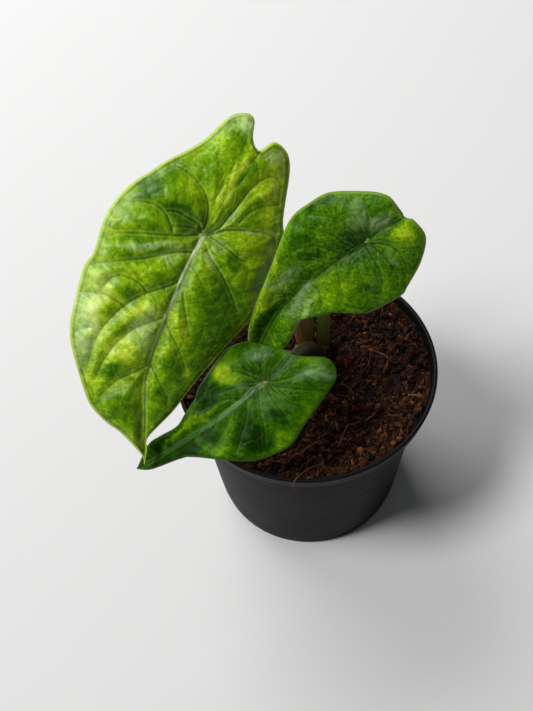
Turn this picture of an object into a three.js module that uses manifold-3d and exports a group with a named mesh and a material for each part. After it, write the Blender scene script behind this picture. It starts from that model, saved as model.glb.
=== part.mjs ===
// A young potted Alocasia scalprum: three quilted, variegated leaves on slender
// stalks that rise from one rhizome in a black nursery pot filled with coir.
// Millimetres, +Z up. The origin is the middle of the pot's underside, and the
// plant leans towards -X and -Y, the side that it is seen from.

import * as THREE from 'three';
import { mergeVertices } from 'three/addons/utils/BufferGeometryUtils.js';
import Module from 'manifold-3d';

const wasm = await Module();
wasm.setup();

// Clearance kept between pieces that touch on the real plant
const GAP = 0.3;

// Pot: a 10 cm nursery pot with a stepped rim
const RIM_RADIUS = 50;
const POT_HEIGHT = 77;
const BASE_RADIUS = 36.5;
const WALL = 1.3;
const FLOOR_THICKNESS = 1.5;
const STEP_HEIGHT = 70.6;
const STEP_RADIUS = 44.4;
const LIP_THICKNESS = 1.6;
const POT_SIDES = 56;
const DRAIN_COUNT = 6;
const DRAIN_RADIUS = 3;
const DRAIN_RING_RADIUS = 24;

// Soil: coir that fills the pot to just below the lip
const SOIL_LEVEL = 72.8;
const SOIL_EDGE_LEVEL = 73.4;
const SOIL_LUMP = 0.8;
const SOIL_SECTORS = 54;
const SOIL_RINGS = 10;
const CHIP_COUNT = 44;

// Rhizome: the short upright stem that every leaf stalk grows from
const RHIZOME_X = 3;
const RHIZOME_Y = 11.8;
const RHIZOME_RADIUS = 8;
const RHIZOME_TOP = 73.6;
const RHIZOME_BOTTOM = 50;
const RHIZOME_SIDES = 24;

// Blades: thickness, how far from a vein the quilting has risen, half the width
// of the channel over the midrib, and how softly a folded blade bends at it
const BLADE_THICKNESS = 0.8;
const PUFF_WIDTH = 3.2;
const GROOVE_WIDTH = 2.5;
const FOLD_SOFTNESS = 3;
const VEIN_SAMPLES = 12;

const material = (color, roughness, metalness = 0) =>
  new THREE.MeshStandardMaterial({ color, roughness, metalness });

const MATERIALS = {
  pot: material(0x15161a, 0.42),
  soil: material(0x4a2a1c, 0.95),
  rhizome: material(0x5b4b2c, 0.8),
  sheath: material(0x8a6f55, 0.6),
  stalk: material(0x7f9a45, 0.45),
  largeLeaf: material(0x8fb51d, 0.3),
  rightLeaf: material(0x4f8a14, 0.32),
  frontLeaf: material(0x3f7f14, 0.32),
};

// Each blade is drawn flat, in its own plane, as [along, across] from the point
// where the stalk joins it. Along runs to the tip, across to the blade's left as
// the tip points at the viewer. The plane is then set in space by the joint, the
// tip and the way the upper face looks.
const LARGE_LEAF = {
  name: 'leaf_large',
  joint: [-34, 10.5, 147],
  tip: [-60, -51.5, 99],
  facing: [0.16, -0.65, 0.74],
  midrib: [
    [83.5, -1], [60.5, 6], [53.5, 7], [27.5, 5], [8, 2], [0, 0], [-10.5, -2.5], [-21.5, -6.5],
    [-33, -11.5],
  ],
  left: [
    [83.5, -1], [80, 1], [74, 10], [71.5, 16], [68, 21.5], [63.5, 25.5], [49, 34], [41.5, 36.5],
    [35.5, 37], [21, 37], [15, 35], [1.5, 34], [-9.5, 29], [-16.5, 23], [-21, 19], [-31, 8.5],
    [-41.5, 1.5], [-44, -2], [-44.5, -5.5], [-42.5, -7.5], [-38, -8], [-34.5, -9.5], [-33, -11.5],
  ],
  right: [
    [83.5, -1], [77.5, -0.5], [73, 0.5], [61.5, -6], [47, -12], [25.5, -23.5], [11.5, -27.5], [-5.5, -28],
    [-13, -26], [-27, -24.5], [-33.5, -22.5], [-36.5, -19.5], [-37.5, -16], [-36, -14], [-34, -12.5],
    [-33, -11.5],
  ],
  veins: [
    [[-1, 1], [-13, 4], [-20, 12], [-21, 17]],
    [[-1, 2], [-4, 6], [-6, 21], [-5, 29]],
    [[1, 2], [4, 18], [6, 27], [9, 33]],
    [[6, 3], [12, 18], [16, 26], [19, 34]],
    [[15, 4], [21, 9], [31, 22], [46, 27], [55, 27]],
    [[24, 14], [21, 18], [20, 23], [22, 28]],
    [[30, 6], [41, 18], [47, 22], [57, 24]],
    [[47, 7], [52, 12], [57, 17], [63, 21]],
    [[-3, -1], [-8, -6], [-19, -11], [-24, -15], [-26, -19], [-24, -22]],
    [[-1, -1], [-5, -10], [-6, -23], [-2, -26]],
    [[0, -1], [1, -7], [3, -11], [5, -17]],
    [[2, -1], [8, -5], [16, -14], [22, -19]],
    [[14, 3], [20, 2], [27, -1], [34, -4]],
    [[31, 6], [37, 3], [42, -2], [48, -6]],
    [[47, 7], [52, 3], [58, -2]],
    [[-11, -9], [-14, -13], [-17, -17], [-19, -23]],
  ],
  arch: { curve: 0.0016, crest: 15 },
  camber: { left: 0.003, right: 0.0084 },
  fold: { slope: 0, start: 0, end: 1 },
  grooveDepth: 0.8,
  dimple: { depth: 2.6, radius: 9 },
  rollOff: { left: 2.2, right: 2.0 },
  ripple: { height: 0.8, waves: 4.5 },
  puff: 1.5,
  rungs: 44,
  columns: 8,
};

const RIGHT_LEAF = {
  name: 'leaf_right',
  joint: [20, -2.5, 154],
  tip: [-20.5, -15, 103.2],
  facing: [-0.26, -0.84, 0.47],
  midrib: [
    [66, 0], [45, 6], [22.5, 5.5], [0, 0], [-6.5, -1], [-12.5, -2.5], [-17, -3.5],
  ],
  left: [
    [66, 0], [61, 4.5], [50, 11.5], [29, 18], [15, 23], [8.5, 24], [3, 23], [-4.5, 20.5], [-10.5, 15],
    [-13.5, 12], [-16.5, 9], [-18.5, 6], [-19, 3], [-17, -3.5],
  ],
  right: [
    [66, 0], [59, -2.5], [52, -3.5], [45, -3.5], [37, -1.5], [33, -2.5], [25, -8], [21, -13.5],
    [17.5, -17.5], [7, -21.5], [2.5, -21], [-7.5, -18.5], [-16.5, -13.5], [-18.5, -7], [-17.5, -5],
    [-17, -3.5],
  ],
  veins: [
    [[0, 1], [-2, 11], [0, 16], [4, 21]],
    [[0, 1], [-5, 6], [-7, 12], [-7, 17]],
    [[-1, 0], [-7, 4], [-11, 8], [-13, 11]],
    [[-1, 0], [-9, 1], [-15, 2], [-18, 3]],
    [[4, 1], [4, 7], [5, 13], [8, 18]],
    [[7, 2], [10, 9], [12, 14], [17, 17]],
    [[13, 4], [16, 9], [18, 13], [22, 16]],
    [[24, 5], [25, 10], [29, 13], [32, 15]],
    [[32, 6], [34, 9], [39, 11]],
    [[0, -1], [-5, -5], [-6, -9], [-4, -14], [0, -19]],
    [[0, -1], [-1, -7], [0, -12], [4, -18]],
    [[1, -1], [4, -7], [7, -13], [12, -17]],
    [[6, 1], [8, -4], [11, -9], [14, -15]],
    [[11, 3], [15, -1], [18, -6], [20, -11]],
    [[23, 5], [23, 1], [26, -3]],
  ],
  arch: { curve: 0.001, crest: 20 },
  camber: { left: 0.005, right: 0.006 },
  fold: { slope: 0.78, start: 5, end: 50 },
  grooveDepth: 0.6,
  dimple: { depth: 3.2, radius: 8 },
  rollOff: { left: 2.4, right: 1.6 },
  ripple: { height: 0.9, waves: 3.5 },
  puff: 1.0,
  rungs: 36,
  columns: 7,
};

const FRONT_LEAF = {
  name: 'leaf_front',
  joint: [-16.5, -28.5, 112.5],
  tip: [-64, -46, 87],
  facing: [-0.18, -0.42, 0.88],
  midrib: [
    [57.5, 0.5], [30, -1], [6, -1], [0, 0], [-5, 0], [-10, 0.5], [-14.5, 2],
  ],
  left: [
    [57.5, 0.5], [47, 6], [43, 3.5], [32.5, 3], [29.5, 5.5], [24, 8.5], [20, 12], [9, 16.5], [4, 17.5],
    [-2.5, 15.5], [-6.5, 11.5], [-13.5, 4], [-14.5, 2],
  ],
  right: [
    [57.5, 0.5], [52, -3], [40.5, -6], [35.5, -8.5], [19.5, -20.5], [8.5, -23.5], [3, -23.5], [-2, -21.5],
    [-17, -15.5], [-23, -12], [-23.5, -6], [-16, 0], [-14.5, 2],
  ],
  veins: [
    [[0, 1], [1, 5], [1, 9], [1, 13]],
    [[0, 1], [-2, 4], [-4, 8], [-7, 9]],
    [[-1, 0], [-5, 2], [-9, 4], [-11, 5]],
    [[1, 1], [3, 4], [6, 8], [10, 12]],
    [[3, 0], [6, 2], [11, 4], [17, 6]],
    [[10, -1], [14, 2], [19, 3], [25, 4]],
    [[20, -1], [25, 1], [29, 1]],
    [[-1, 0], [-7, -4], [-20, -7], [-22, -10]],
    [[0, -1], [-5, -6], [-10, -10], [-16, -14]],
    [[0, -1], [-2, -7], [-4, -12], [-8, -16]],
    [[1, -1], [1, -7], [1, -12], [1, -19]],
    [[3, 0], [6, -7], [8, -13], [12, -19]],
    [[8, -1], [11, -6], [15, -10], [21, -15]],
    [[13, -1], [17, -4], [22, -7], [28, -10]],
    [[21, -1], [25, -4], [30, -6]],
    [[31, -1], [35, -2], [40, -3]],
  ],
  arch: { curve: 0.002, crest: 8 },
  camber: { left: 0.0085, right: 0.006 },
  fold: { slope: 0.42, start: 10, end: 48 },
  grooveDepth: 0.5,
  dimple: { depth: 3, radius: 7 },
  rollOff: { left: 1.5, right: 2 },
  ripple: { height: 0.6, waves: 3.5 },
  puff: 1.0,
  rungs: 32,
  columns: 6,
};

// Stalks: the points that each one bends through between the rhizome and its
// blade, the radius at its foot and at its neck, and how many times wider than
// deep the foot is where it clasps the others
const STALKS = [
  { leaf: LARGE_LEAF, name: 'stalk_large', foot: 2.5, neck: 1.7, clasp: 1,
    bends: [[0.6, 14.6, 73.9], [-1.2, 16.8, 90], [-8, 20, 113], [-20.5, 21.5, 130.5]] },
  { leaf: RIGHT_LEAF, name: 'stalk_right', foot: 2.5, neck: 1.7, clasp: 1.15,
    bends: [[7.2, 13.4, 73.9], [8, 14.6, 95], [12, 14.6, 120], [18.6, 10.6, 141]] },
  { leaf: FRONT_LEAF, name: 'stalk_front', foot: 2.8, neck: 1.5, clasp: 2,
    bends: [[2, 7.6, 73.9], [1.4, 4.4, 83], [-4.2, -7, 96], [-11.5, -19.5, 104]] },
];
const STALK_SIDES = 8;
const STALK_STEPS = 18;
const CLASP_SHARE = 0.16;
const NECK_DROP = 8;

// Papery sheath: a dry bract that wraps the foot of the large leaf's stalk
const SHEATH_HEIGHT = 22;
const SHEATH_THICKNESS = 0.7;
const SHEATH_RADIUS = 3.2;
const SHEATH_BULGE = 0.5;
const SHEATH_HALF_WRAP = 150;
const SHEATH_TURN = -75;
const SHEATH_LEVELS = 9;
const SHEATH_COLUMNS = 12;

// A small repeatable random stream
function randomStream(seed) {
  let state = seed;
  return () => {
    state = (state + 0x6d2b79f5) | 0;
    let t = Math.imul(state ^ (state >>> 15), 1 | state);
    t = (t + Math.imul(t ^ (t >>> 7), 61 | t)) ^ t;
    return ((t ^ (t >>> 14)) >>> 0) / 4294967296;
  };
}

// Index a geometry by position alone and drop triangles that have collapsed
function weld(geometry) {
  const bare = geometry.clone();
  bare.deleteAttribute('normal');
  bare.deleteAttribute('uv');
  const merged = mergeVertices(bare, 1e-4);
  const kept = [];
  const { array } = merged.index;
  for (let i = 0; i < array.length; i += 3) {
    const [a, b, c] = [array[i], array[i + 1], array[i + 2]];
    if (a !== b && b !== c && c !== a) kept.push(a, b, c);
  }
  merged.setIndex(kept);
  return merged;
}

function toSolid(geometry) {
  const welded = weld(geometry);
  return new wasm.Manifold(new wasm.Mesh({
    numProp: 3,
    vertProperties: new Float32Array(welded.attributes.position.array),
    triVerts: new Uint32Array(welded.index.array),
  }));
}

function toGeometry(solid) {
  const mesh = solid.getMesh();
  const geometry = new THREE.BufferGeometry();
  geometry.setAttribute('position', new THREE.BufferAttribute(mesh.vertProperties, 3));
  geometry.setIndex(new THREE.BufferAttribute(mesh.triVerts, 1));
  return geometry;
}

function geometryFrom(points, triangles) {
  const geometry = new THREE.BufferGeometry();
  geometry.setAttribute('position', new THREE.Float32BufferAttribute(points.flat(), 3));
  geometry.setIndex(triangles.flat());
  return geometry;
}

function meshOf(name, geometry, finish) {
  geometry.computeVertexNormals();
  const mesh = new THREE.Mesh(geometry, finish);
  mesh.name = name;
  return mesh;
}

const flatCurve = (points) => new THREE.SplineCurve(points.map(([x, y]) => new THREE.Vector2(x, y)));
const spaceCurve = (points) => new THREE.CatmullRomCurve3(points.map((p) => new THREE.Vector3(...p)));

// The plane of a blade: its long axis, its sideways axis and its upper normal
function bladeFrame(leaf) {
  const joint = new THREE.Vector3(...leaf.joint);
  const along = new THREE.Vector3(...leaf.tip).sub(joint).normalize();
  const up = new THREE.Vector3(...leaf.facing);
  up.addScaledVector(along, -up.dot(along)).normalize();
  const across = new THREE.Vector3().crossVectors(along, up);
  return { joint, along, across, up };
}

// How far across the midrib lies at a given distance along the blade
function midribLine(leaf) {
  const samples = flatCurve(leaf.midrib).getSpacedPoints(60).sort((p, q) => p.x - q.x);
  return (x) => {
    const next = samples.findIndex((p) => p.x > x);
    if (next === 0) return samples[0].y;
    if (next < 0) return samples[samples.length - 1].y;
    const [before, after] = [samples[next - 1], samples[next]];
    return before.y + ((after.y - before.y) * (x - before.x)) / (after.x - before.x);
  };
}

// Rungs start ahead of their margin ends near the tip and behind them near the
// notch, as the side veins do
function sweptShare(share) {
  return share + 0.5 * share * (1 - share) * (1 - 3 * share);
}

function distanceToLines(point, lines) {
  const nearest = new THREE.Vector2();
  const step = new THREE.Vector2();
  let best = Infinity;
  for (const line of lines) {
    for (let i = 1; i < line.length; i += 1) {
      step.subVectors(line[i], line[i - 1]);
      const share = THREE.MathUtils.clamp(
        nearest.subVectors(point, line[i - 1]).dot(step) / step.lengthSq(), 0, 1);
      nearest.copy(line[i - 1]).addScaledVector(step, share);
      best = Math.min(best, nearest.distanceTo(point));
    }
  }
  return best;
}

// Height of the upper face over the blade's plane. edge is 0 on the midrib and
// 1 on the margin, share is 0 at the tip and 1 at the notch between the lobes.
function bladeHeight(leaf, point, sideways, edge, share, veinDistance) {
  const { arch, camber, fold, dimple, rollOff, ripple } = leaf;
  const left = sideways > 0;
  const folded = THREE.MathUtils.smoothstep(point.x, fold.start, fold.end);
  const flattened = fold.slope > 0 ? 1 - folded : 1;
  const bowed = arch.curve * (arch.crest ** 2 - (point.x - arch.crest) ** 2);
  const cambered = -(left ? camber.left : camber.right) * sideways ** 2 * flattened;
  const trough = fold.slope * folded * (Math.hypot(sideways, FOLD_SOFTNESS) - FOLD_SOFTNESS);
  const groove = leaf.grooveDepth * (1 - Math.exp(-((sideways / GROOVE_WIDTH) ** 2)));
  const funnel = dimple.depth * (1 - Math.exp(-((Math.hypot(point.x, sideways) / dimple.radius) ** 2)));
  const rolled = -(left ? rollOff.left : rollOff.right) * edge ** 6;
  const rippled = ripple.height * edge ** 3 * Math.sin(2 * Math.PI * ripple.waves * share);
  const puffed = leaf.puff * (1 - Math.exp(-((veinDistance / PUFF_WIDTH) ** 1.4))) * (1 - edge ** 5);
  return bowed + cambered + trough + groove + funnel + rolled + rippled + puffed;
}

// Blade: rungs run from the midrib out to both margins, the same on both faces
function bladeGeometry(leaf) {
  const { joint, along, across, up } = bladeFrame(leaf);
  const midribAt = midribLine(leaf);
  const spine = flatCurve(leaf.midrib);
  const margins = { left: flatCurve(leaf.left), right: flatCurve(leaf.right) };
  const veinLines = [...leaf.veins, leaf.midrib].map(
    (vein) => flatCurve(vein).getSpacedPoints(VEIN_SAMPLES));
  const { rungs, columns } = leaf;
  const width = 2 * columns + 1;
  const points = [];

  const addPoint = (flat, edge, share) => {
    const sideways = flat.y - midribAt(flat.x);
    const height = bladeHeight(leaf, flat, sideways, edge, share, distanceToLines(flat, veinLines));
    const top = joint.clone()
      .addScaledVector(along, flat.x)
      .addScaledVector(across, flat.y)
      .addScaledVector(up, height);
    points.push(top, top.clone().addScaledVector(up, -BLADE_THICKNESS));
  };

  addPoint(spine.getPoint(0), 1, 0);
  for (let i = 1; i < rungs; i += 1) {
    const share = i / rungs;
    const inner = spine.getPointAt(sweptShare(share));
    for (let j = -columns; j <= columns; j += 1) {
      const edge = Math.abs(j) / columns;
      const outer = (j < 0 ? margins.right : margins.left).getPointAt(share);
      addPoint(inner.clone().lerp(outer, edge), edge, share);
    }
  }
  addPoint(spine.getPoint(1), 1, 1);

  const last = 1 + (rungs - 1) * width;
  const index = (rung, column) => {
    if (rung === 0) return 0;
    return rung === rungs ? last : 1 + (rung - 1) * width + column;
  };
  const triangles = [];
  const addBoth = (a, b, c) => {
    if (a === b || b === c || c === a) return;
    triangles.push([2 * a, 2 * c, 2 * b], [2 * a + 1, 2 * b + 1, 2 * c + 1]);
  };
  const addWall = (a, b) => {
    triangles.push([2 * a, 2 * a + 1, 2 * b + 1], [2 * a, 2 * b + 1, 2 * b]);
  };
  for (let i = 0; i < rungs; i += 1) {
    for (let k = 0; k < width - 1; k += 1) {
      const [a, b, c, d] = [index(i, k), index(i, k + 1), index(i + 1, k + 1), index(i + 1, k)];
      addBoth(a, b, c);
      addBoth(a, c, d);
    }
    addWall(index(i, 0), index(i + 1, 0));
    addWall(index(i + 1, width - 1), index(i, width - 1));
  }
  return geometryFrom(points.map((p) => p.toArray()), triangles);
}

// A closed body swept along a curve with a radius that changes on the way.
// widthAt scales it sideways, along X, and a level foot lies at the height given.
function sweep(curve, sides, steps, radiusAt, widthAt = () => 1, footLevel = null) {
  const frames = curve.computeFrenetFrames(steps, false);
  const points = [];
  const triangles = [];
  for (let i = 0; i <= steps; i += 1) {
    const centre = curve.getPointAt(i / steps);
    const radius = radiusAt(i / steps);
    for (let k = 0; k < sides; k += 1) {
      const angle = (2 * Math.PI * k) / sides;
      const spoke = new THREE.Vector3()
        .addScaledVector(frames.normals[i], radius * Math.cos(angle))
        .addScaledVector(frames.binormals[i], radius * Math.sin(angle));
      spoke.x *= widthAt(i / steps);
      const point = spoke.add(centre);
      if (i === 0 && footLevel !== null) point.z = footLevel;
      points.push(point.toArray());
    }
  }
  const at = (i, k) => i * sides + (k % sides);
  for (let i = 0; i < steps; i += 1) {
    for (let k = 0; k < sides; k += 1) {
      triangles.push([at(i, k), at(i, k + 1), at(i + 1, k + 1)]);
      triangles.push([at(i, k), at(i + 1, k + 1), at(i + 1, k)]);
    }
  }
  for (let k = 1; k < sides - 1; k += 1) {
    triangles.push([at(0, 0), at(0, k + 1), at(0, k)]);
    triangles.push([at(steps, 0), at(steps, k), at(steps, k + 1)]);
  }
  return geometryFrom(points, triangles);
}

// A stalk rises from the rhizome and meets its blade square to the underside
function stalkGeometry({ leaf, bends, foot, neck, clasp }) {
  const { joint, up } = bladeFrame(leaf);
  const below = (drop) => joint.clone().addScaledVector(up, -drop).toArray();
  const curve = spaceCurve([...bends, below(NECK_DROP), below(BLADE_THICKNESS + GAP)]);
  const radiusAt = (t) => foot + (neck - foot) * t;
  const widthAt = (t) => 1 + (clasp - 1) * Math.exp(-((t / CLASP_SHARE) ** 2));
  return sweep(curve, STALK_SIDES, STALK_STEPS, radiusAt, widthAt, RHIZOME_TOP + GAP);
}

// The sheath is a pointed scale, rolled round the stalk and open on one side
function sheathGeometry() {
  const { bends } = STALKS[0];
  const path = spaceCurve(bends.slice(0, 3)).getSpacedPoints(100);
  const points = [];
  for (let i = 0; i <= SHEATH_LEVELS; i += 1) {
    const rise = i / SHEATH_LEVELS;
    const height = RHIZOME_TOP + GAP + SHEATH_HEIGHT * rise;
    const centre = path.find((p) => p.z >= height);
    const halfWrap = SHEATH_HALF_WRAP * Math.sqrt(1 - 0.985 * rise);
    const radius = SHEATH_RADIUS + SHEATH_BULGE * Math.sin(Math.PI * rise);
    for (let k = 0; k <= SHEATH_COLUMNS; k += 1) {
      const turn = SHEATH_TURN + halfWrap * ((2 * k) / SHEATH_COLUMNS - 1);
      const angle = THREE.MathUtils.degToRad(turn);
      for (const r of [radius + SHEATH_THICKNESS, radius]) {
        points.push([centre.x + r * Math.cos(angle), centre.y + r * Math.sin(angle), height]);
      }
    }
  }
  const at = (level, column, face) => 2 * (level * (SHEATH_COLUMNS + 1) + column) + face;
  const triangles = [];
  const addQuad = (a, b, c, d) => triangles.push([a, b, c], [a, c, d]);
  for (let i = 0; i < SHEATH_LEVELS; i += 1) {
    for (let k = 0; k < SHEATH_COLUMNS; k += 1) {
      addQuad(at(i, k, 0), at(i, k + 1, 0), at(i + 1, k + 1, 0), at(i + 1, k, 0));
      addQuad(at(i, k, 1), at(i + 1, k, 1), at(i + 1, k + 1, 1), at(i, k + 1, 1));
    }
    const edge = SHEATH_COLUMNS;
    addQuad(at(i, 0, 1), at(i, 0, 0), at(i + 1, 0, 0), at(i + 1, 0, 1));
    addQuad(at(i, edge, 0), at(i, edge, 1), at(i + 1, edge, 1), at(i + 1, edge, 0));
  }
  const top = SHEATH_LEVELS;
  for (let k = 0; k < SHEATH_COLUMNS; k += 1) {
    addQuad(at(0, k, 0), at(0, k, 1), at(0, k + 1, 1), at(0, k + 1, 0));
    addQuad(at(top, k, 0), at(top, k + 1, 0), at(top, k + 1, 1), at(top, k, 1));
  }
  return geometryFrom(points, triangles);
}

// Turn a profile of [radius, height] pairs about the vertical axis
function turned(profile, sides) {
  const outline = profile.map(([radius, height]) => new THREE.Vector2(radius, height));
  const geometry = new THREE.LatheGeometry(outline, sides);
  geometry.rotateX(Math.PI / 2);
  return geometry;
}

function rhizomeGeometry() {
  const rim = RHIZOME_RADIUS;
  const profile = [
    [0, RHIZOME_BOTTOM], [rim * 0.6, RHIZOME_BOTTOM + 1.5], [rim * 0.92, RHIZOME_BOTTOM + 7],
    [rim, RHIZOME_BOTTOM + 15], [rim, RHIZOME_TOP - 1.4], [rim * 0.93, RHIZOME_TOP - 0.3],
    [rim * 0.8, RHIZOME_TOP], [0, RHIZOME_TOP],
  ];
  const geometry = turned(profile, RHIZOME_SIDES);
  geometry.translate(RHIZOME_X, RHIZOME_Y, 0);
  return geometry;
}

function potGeometry() {
  const lipInner = RIM_RADIUS - LIP_THICKNESS;
  const profile = [
    [0, 0], [BASE_RADIUS - 0.9, 0], [BASE_RADIUS, 0.9], [BASE_RADIUS + 0.5, 4.6],
    [BASE_RADIUS + 0.9, 5.2], [STEP_RADIUS, STEP_HEIGHT], [RIM_RADIUS - 1.1, STEP_HEIGHT + 0.4],
    [RIM_RADIUS - 0.3, POT_HEIGHT - 1.6], [RIM_RADIUS, POT_HEIGHT - 0.9], [RIM_RADIUS - 0.4, POT_HEIGHT],
    [lipInner, POT_HEIGHT], [lipInner - 0.9, STEP_HEIGHT + 1.7], [STEP_RADIUS - WALL, STEP_HEIGHT + 1.1],
    [BASE_RADIUS + 0.4 - WALL, FLOOR_THICKNESS], [0, FLOOR_THICKNESS],
  ];
  let solid = toSolid(turned(profile, POT_SIDES));
  for (let i = 0; i < DRAIN_COUNT; i += 1) {
    const angle = (2 * Math.PI * (i + 0.5)) / DRAIN_COUNT;
    const drill = new THREE.CylinderGeometry(DRAIN_RADIUS, DRAIN_RADIUS, 10, 12);
    drill.rotateX(Math.PI / 2);
    drill.translate(DRAIN_RING_RADIUS * Math.cos(angle), DRAIN_RING_RADIUS * Math.sin(angle), 0);
    solid = solid.subtract(toSolid(drill));
  }
  return toGeometry(solid);
}

// Lumpy coir surface, a little higher against the wall than in the middle
function soilHeight(x, y) {
  const radius = Math.hypot(x, y);
  const heaped = SOIL_LEVEL + (SOIL_EDGE_LEVEL - SOIL_LEVEL) * (radius / RIM_RADIUS) ** 3;
  const lumps = Math.sin(0.42 * x + 1.3) * Math.cos(0.37 * y - 0.4) + 0.6 * Math.sin(0.9 * x - 0.7 * y)
    + 0.5 * Math.cos(0.8 * y + 0.5 * x + 2);
  return heaped + SOIL_LUMP * 0.5 * lumps;
}

function soilBody(random) {
  const edge = RIM_RADIUS - LIP_THICKNESS - 0.9 - GAP - 0.2;
  const wall = [
    [edge, STEP_HEIGHT + 1.7 + GAP], [STEP_RADIUS - WALL - GAP - 0.2, STEP_HEIGHT + 1.1 + GAP],
    [BASE_RADIUS + 0.4 - WALL - GAP, FLOOR_THICKNESS + GAP],
  ];
  const points = [[0, 0, soilHeight(0, 0)]];
  const ringPoints = (radius, heightAt) => {
    for (let k = 0; k < SOIL_SECTORS; k += 1) {
      const angle = (2 * Math.PI * k) / SOIL_SECTORS;
      const [x, y] = [radius * Math.cos(angle), radius * Math.sin(angle)];
      points.push([x, y, heightAt(x, y)]);
    }
  };
  for (let i = 1; i <= SOIL_RINGS; i += 1) {
    const rough = i < SOIL_RINGS ? SOIL_LUMP : 0.2;
    ringPoints((edge * i) / SOIL_RINGS, (x, y) => soilHeight(x, y) + rough * (random() - 0.5));
  }
  for (const [radius, height] of wall) ringPoints(radius, () => height);
  points.push([0, 0, FLOOR_THICKNESS + GAP]);

  const rings = SOIL_RINGS + wall.length;
  const at = (ring, k) => 1 + (ring - 1) * SOIL_SECTORS + (k % SOIL_SECTORS);
  const bottom = points.length - 1;
  const triangles = [];
  for (let k = 0; k < SOIL_SECTORS; k += 1) {
    triangles.push([0, at(1, k), at(1, k + 1)]);
    for (let i = 1; i < rings; i += 1) {
      triangles.push([at(i, k), at(i + 1, k), at(i + 1, k + 1)]);
      triangles.push([at(i, k), at(i + 1, k + 1), at(i, k + 1)]);
    }
    triangles.push([bottom, at(rings, k + 1), at(rings, k)]);
  }
  return toSolid(geometryFrom(points, triangles));
}

// Places on the soil that keep clear of the rhizome and of the pot's wall
function soilPlace(random, reach) {
  for (;;) {
    const angle = 2 * Math.PI * random();
    const radius = (RIM_RADIUS - 7 - reach) * Math.sqrt(random());
    const [x, y] = [radius * Math.cos(angle), radius * Math.sin(angle)];
    if (Math.hypot(x - RHIZOME_X, y - RHIZOME_Y) > RHIZOME_RADIUS + reach + 1) return [x, y];
  }
}

function huskChip(random) {
  const long = 3.5 + 3.5 * random();
  const chip = new THREE.BoxGeometry(long, 1.6 + 1.4 * random(), 1.8 + random());
  chip.rotateY(0.6 * (random() - 0.5));
  chip.rotateZ(2 * Math.PI * random());
  const [x, y] = soilPlace(random, long / 2);
  chip.translate(x, y, soilHeight(x, y) + 0.2);
  return chip;
}

// Coir fibres lie in loose curves, half sunk. [x, y] points, in the order they run.
const FIBRE_RADIUS = 0.6;
const FIBRE_SIDES = 4;
const FIBRES = [
  [[26, -19], [20, -24], [14, -25], [11, -31], [9, -35]],
  [[26, 8], [31, 5], [31, 0], [29, -3]],
  [[37, -2], [42, -4]],
  [[19, 23], [22, 27], [24, 33]],
  [[28, -20], [32, -23]],
  [[2, -32], [-3, -35], [-6, -38]],
  [[-22, 22], [-27, 27], [-26, 33], [-20, 36]],
  [[-6, 30], [-1, 36], [6, 38]],
  [[-38, 4], [-34, 10], [-36, 16]],
  [[-16, -8], [-22, -5], [-28, -7]],
  [[12, -6], [17, -10], [16, -16]],
  [[-12, -34], [-17, -31], [-24, -31]],
];

function fibre(places) {
  const path = places.map(([x, y], i) => {
    const end = i === 0 || i === places.length - 1;
    return [x, y, soilHeight(x, y) + (end ? -0.6 : 0.7)];
  });
  return sweep(spaceCurve(path), FIBRE_SIDES, 4 * (places.length - 1), () => FIBRE_RADIUS);
}

function soilGeometry() {
  const random = randomStream(8513);
  let solid = soilBody(random);
  for (let i = 0; i < CHIP_COUNT; i += 1) solid = solid.add(toSolid(huskChip(random)));
  for (const places of FIBRES) solid = solid.add(toSolid(fibre(places)));
  const holeRadius = RHIZOME_RADIUS + GAP;
  const hole = new THREE.CylinderGeometry(holeRadius, holeRadius, 40, 24);
  hole.rotateX(Math.PI / 2);
  hole.translate(RHIZOME_X, RHIZOME_Y, RHIZOME_BOTTOM - GAP + 20);
  return toGeometry(solid.subtract(toSolid(hole)));
}

const plant = new THREE.Group();
plant.add(
  meshOf(LARGE_LEAF.name, bladeGeometry(LARGE_LEAF), MATERIALS.largeLeaf),
  meshOf(RIGHT_LEAF.name, bladeGeometry(RIGHT_LEAF), MATERIALS.rightLeaf),
  meshOf(FRONT_LEAF.name, bladeGeometry(FRONT_LEAF), MATERIALS.frontLeaf),
  ...STALKS.map((stalk) => meshOf(stalk.name, stalkGeometry(stalk), MATERIALS.stalk.clone())),
  meshOf('papery_sheath', sheathGeometry(), MATERIALS.sheath),
  meshOf('rhizome', rhizomeGeometry(), MATERIALS.rhizome),
);

const pottedPlant = new THREE.Group();
pottedPlant.add(
  plant,
  meshOf('soil', soilGeometry(), MATERIALS.soil),
  meshOf('pot', potGeometry(), MATERIALS.pot),
);

export default pottedPlant;
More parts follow.
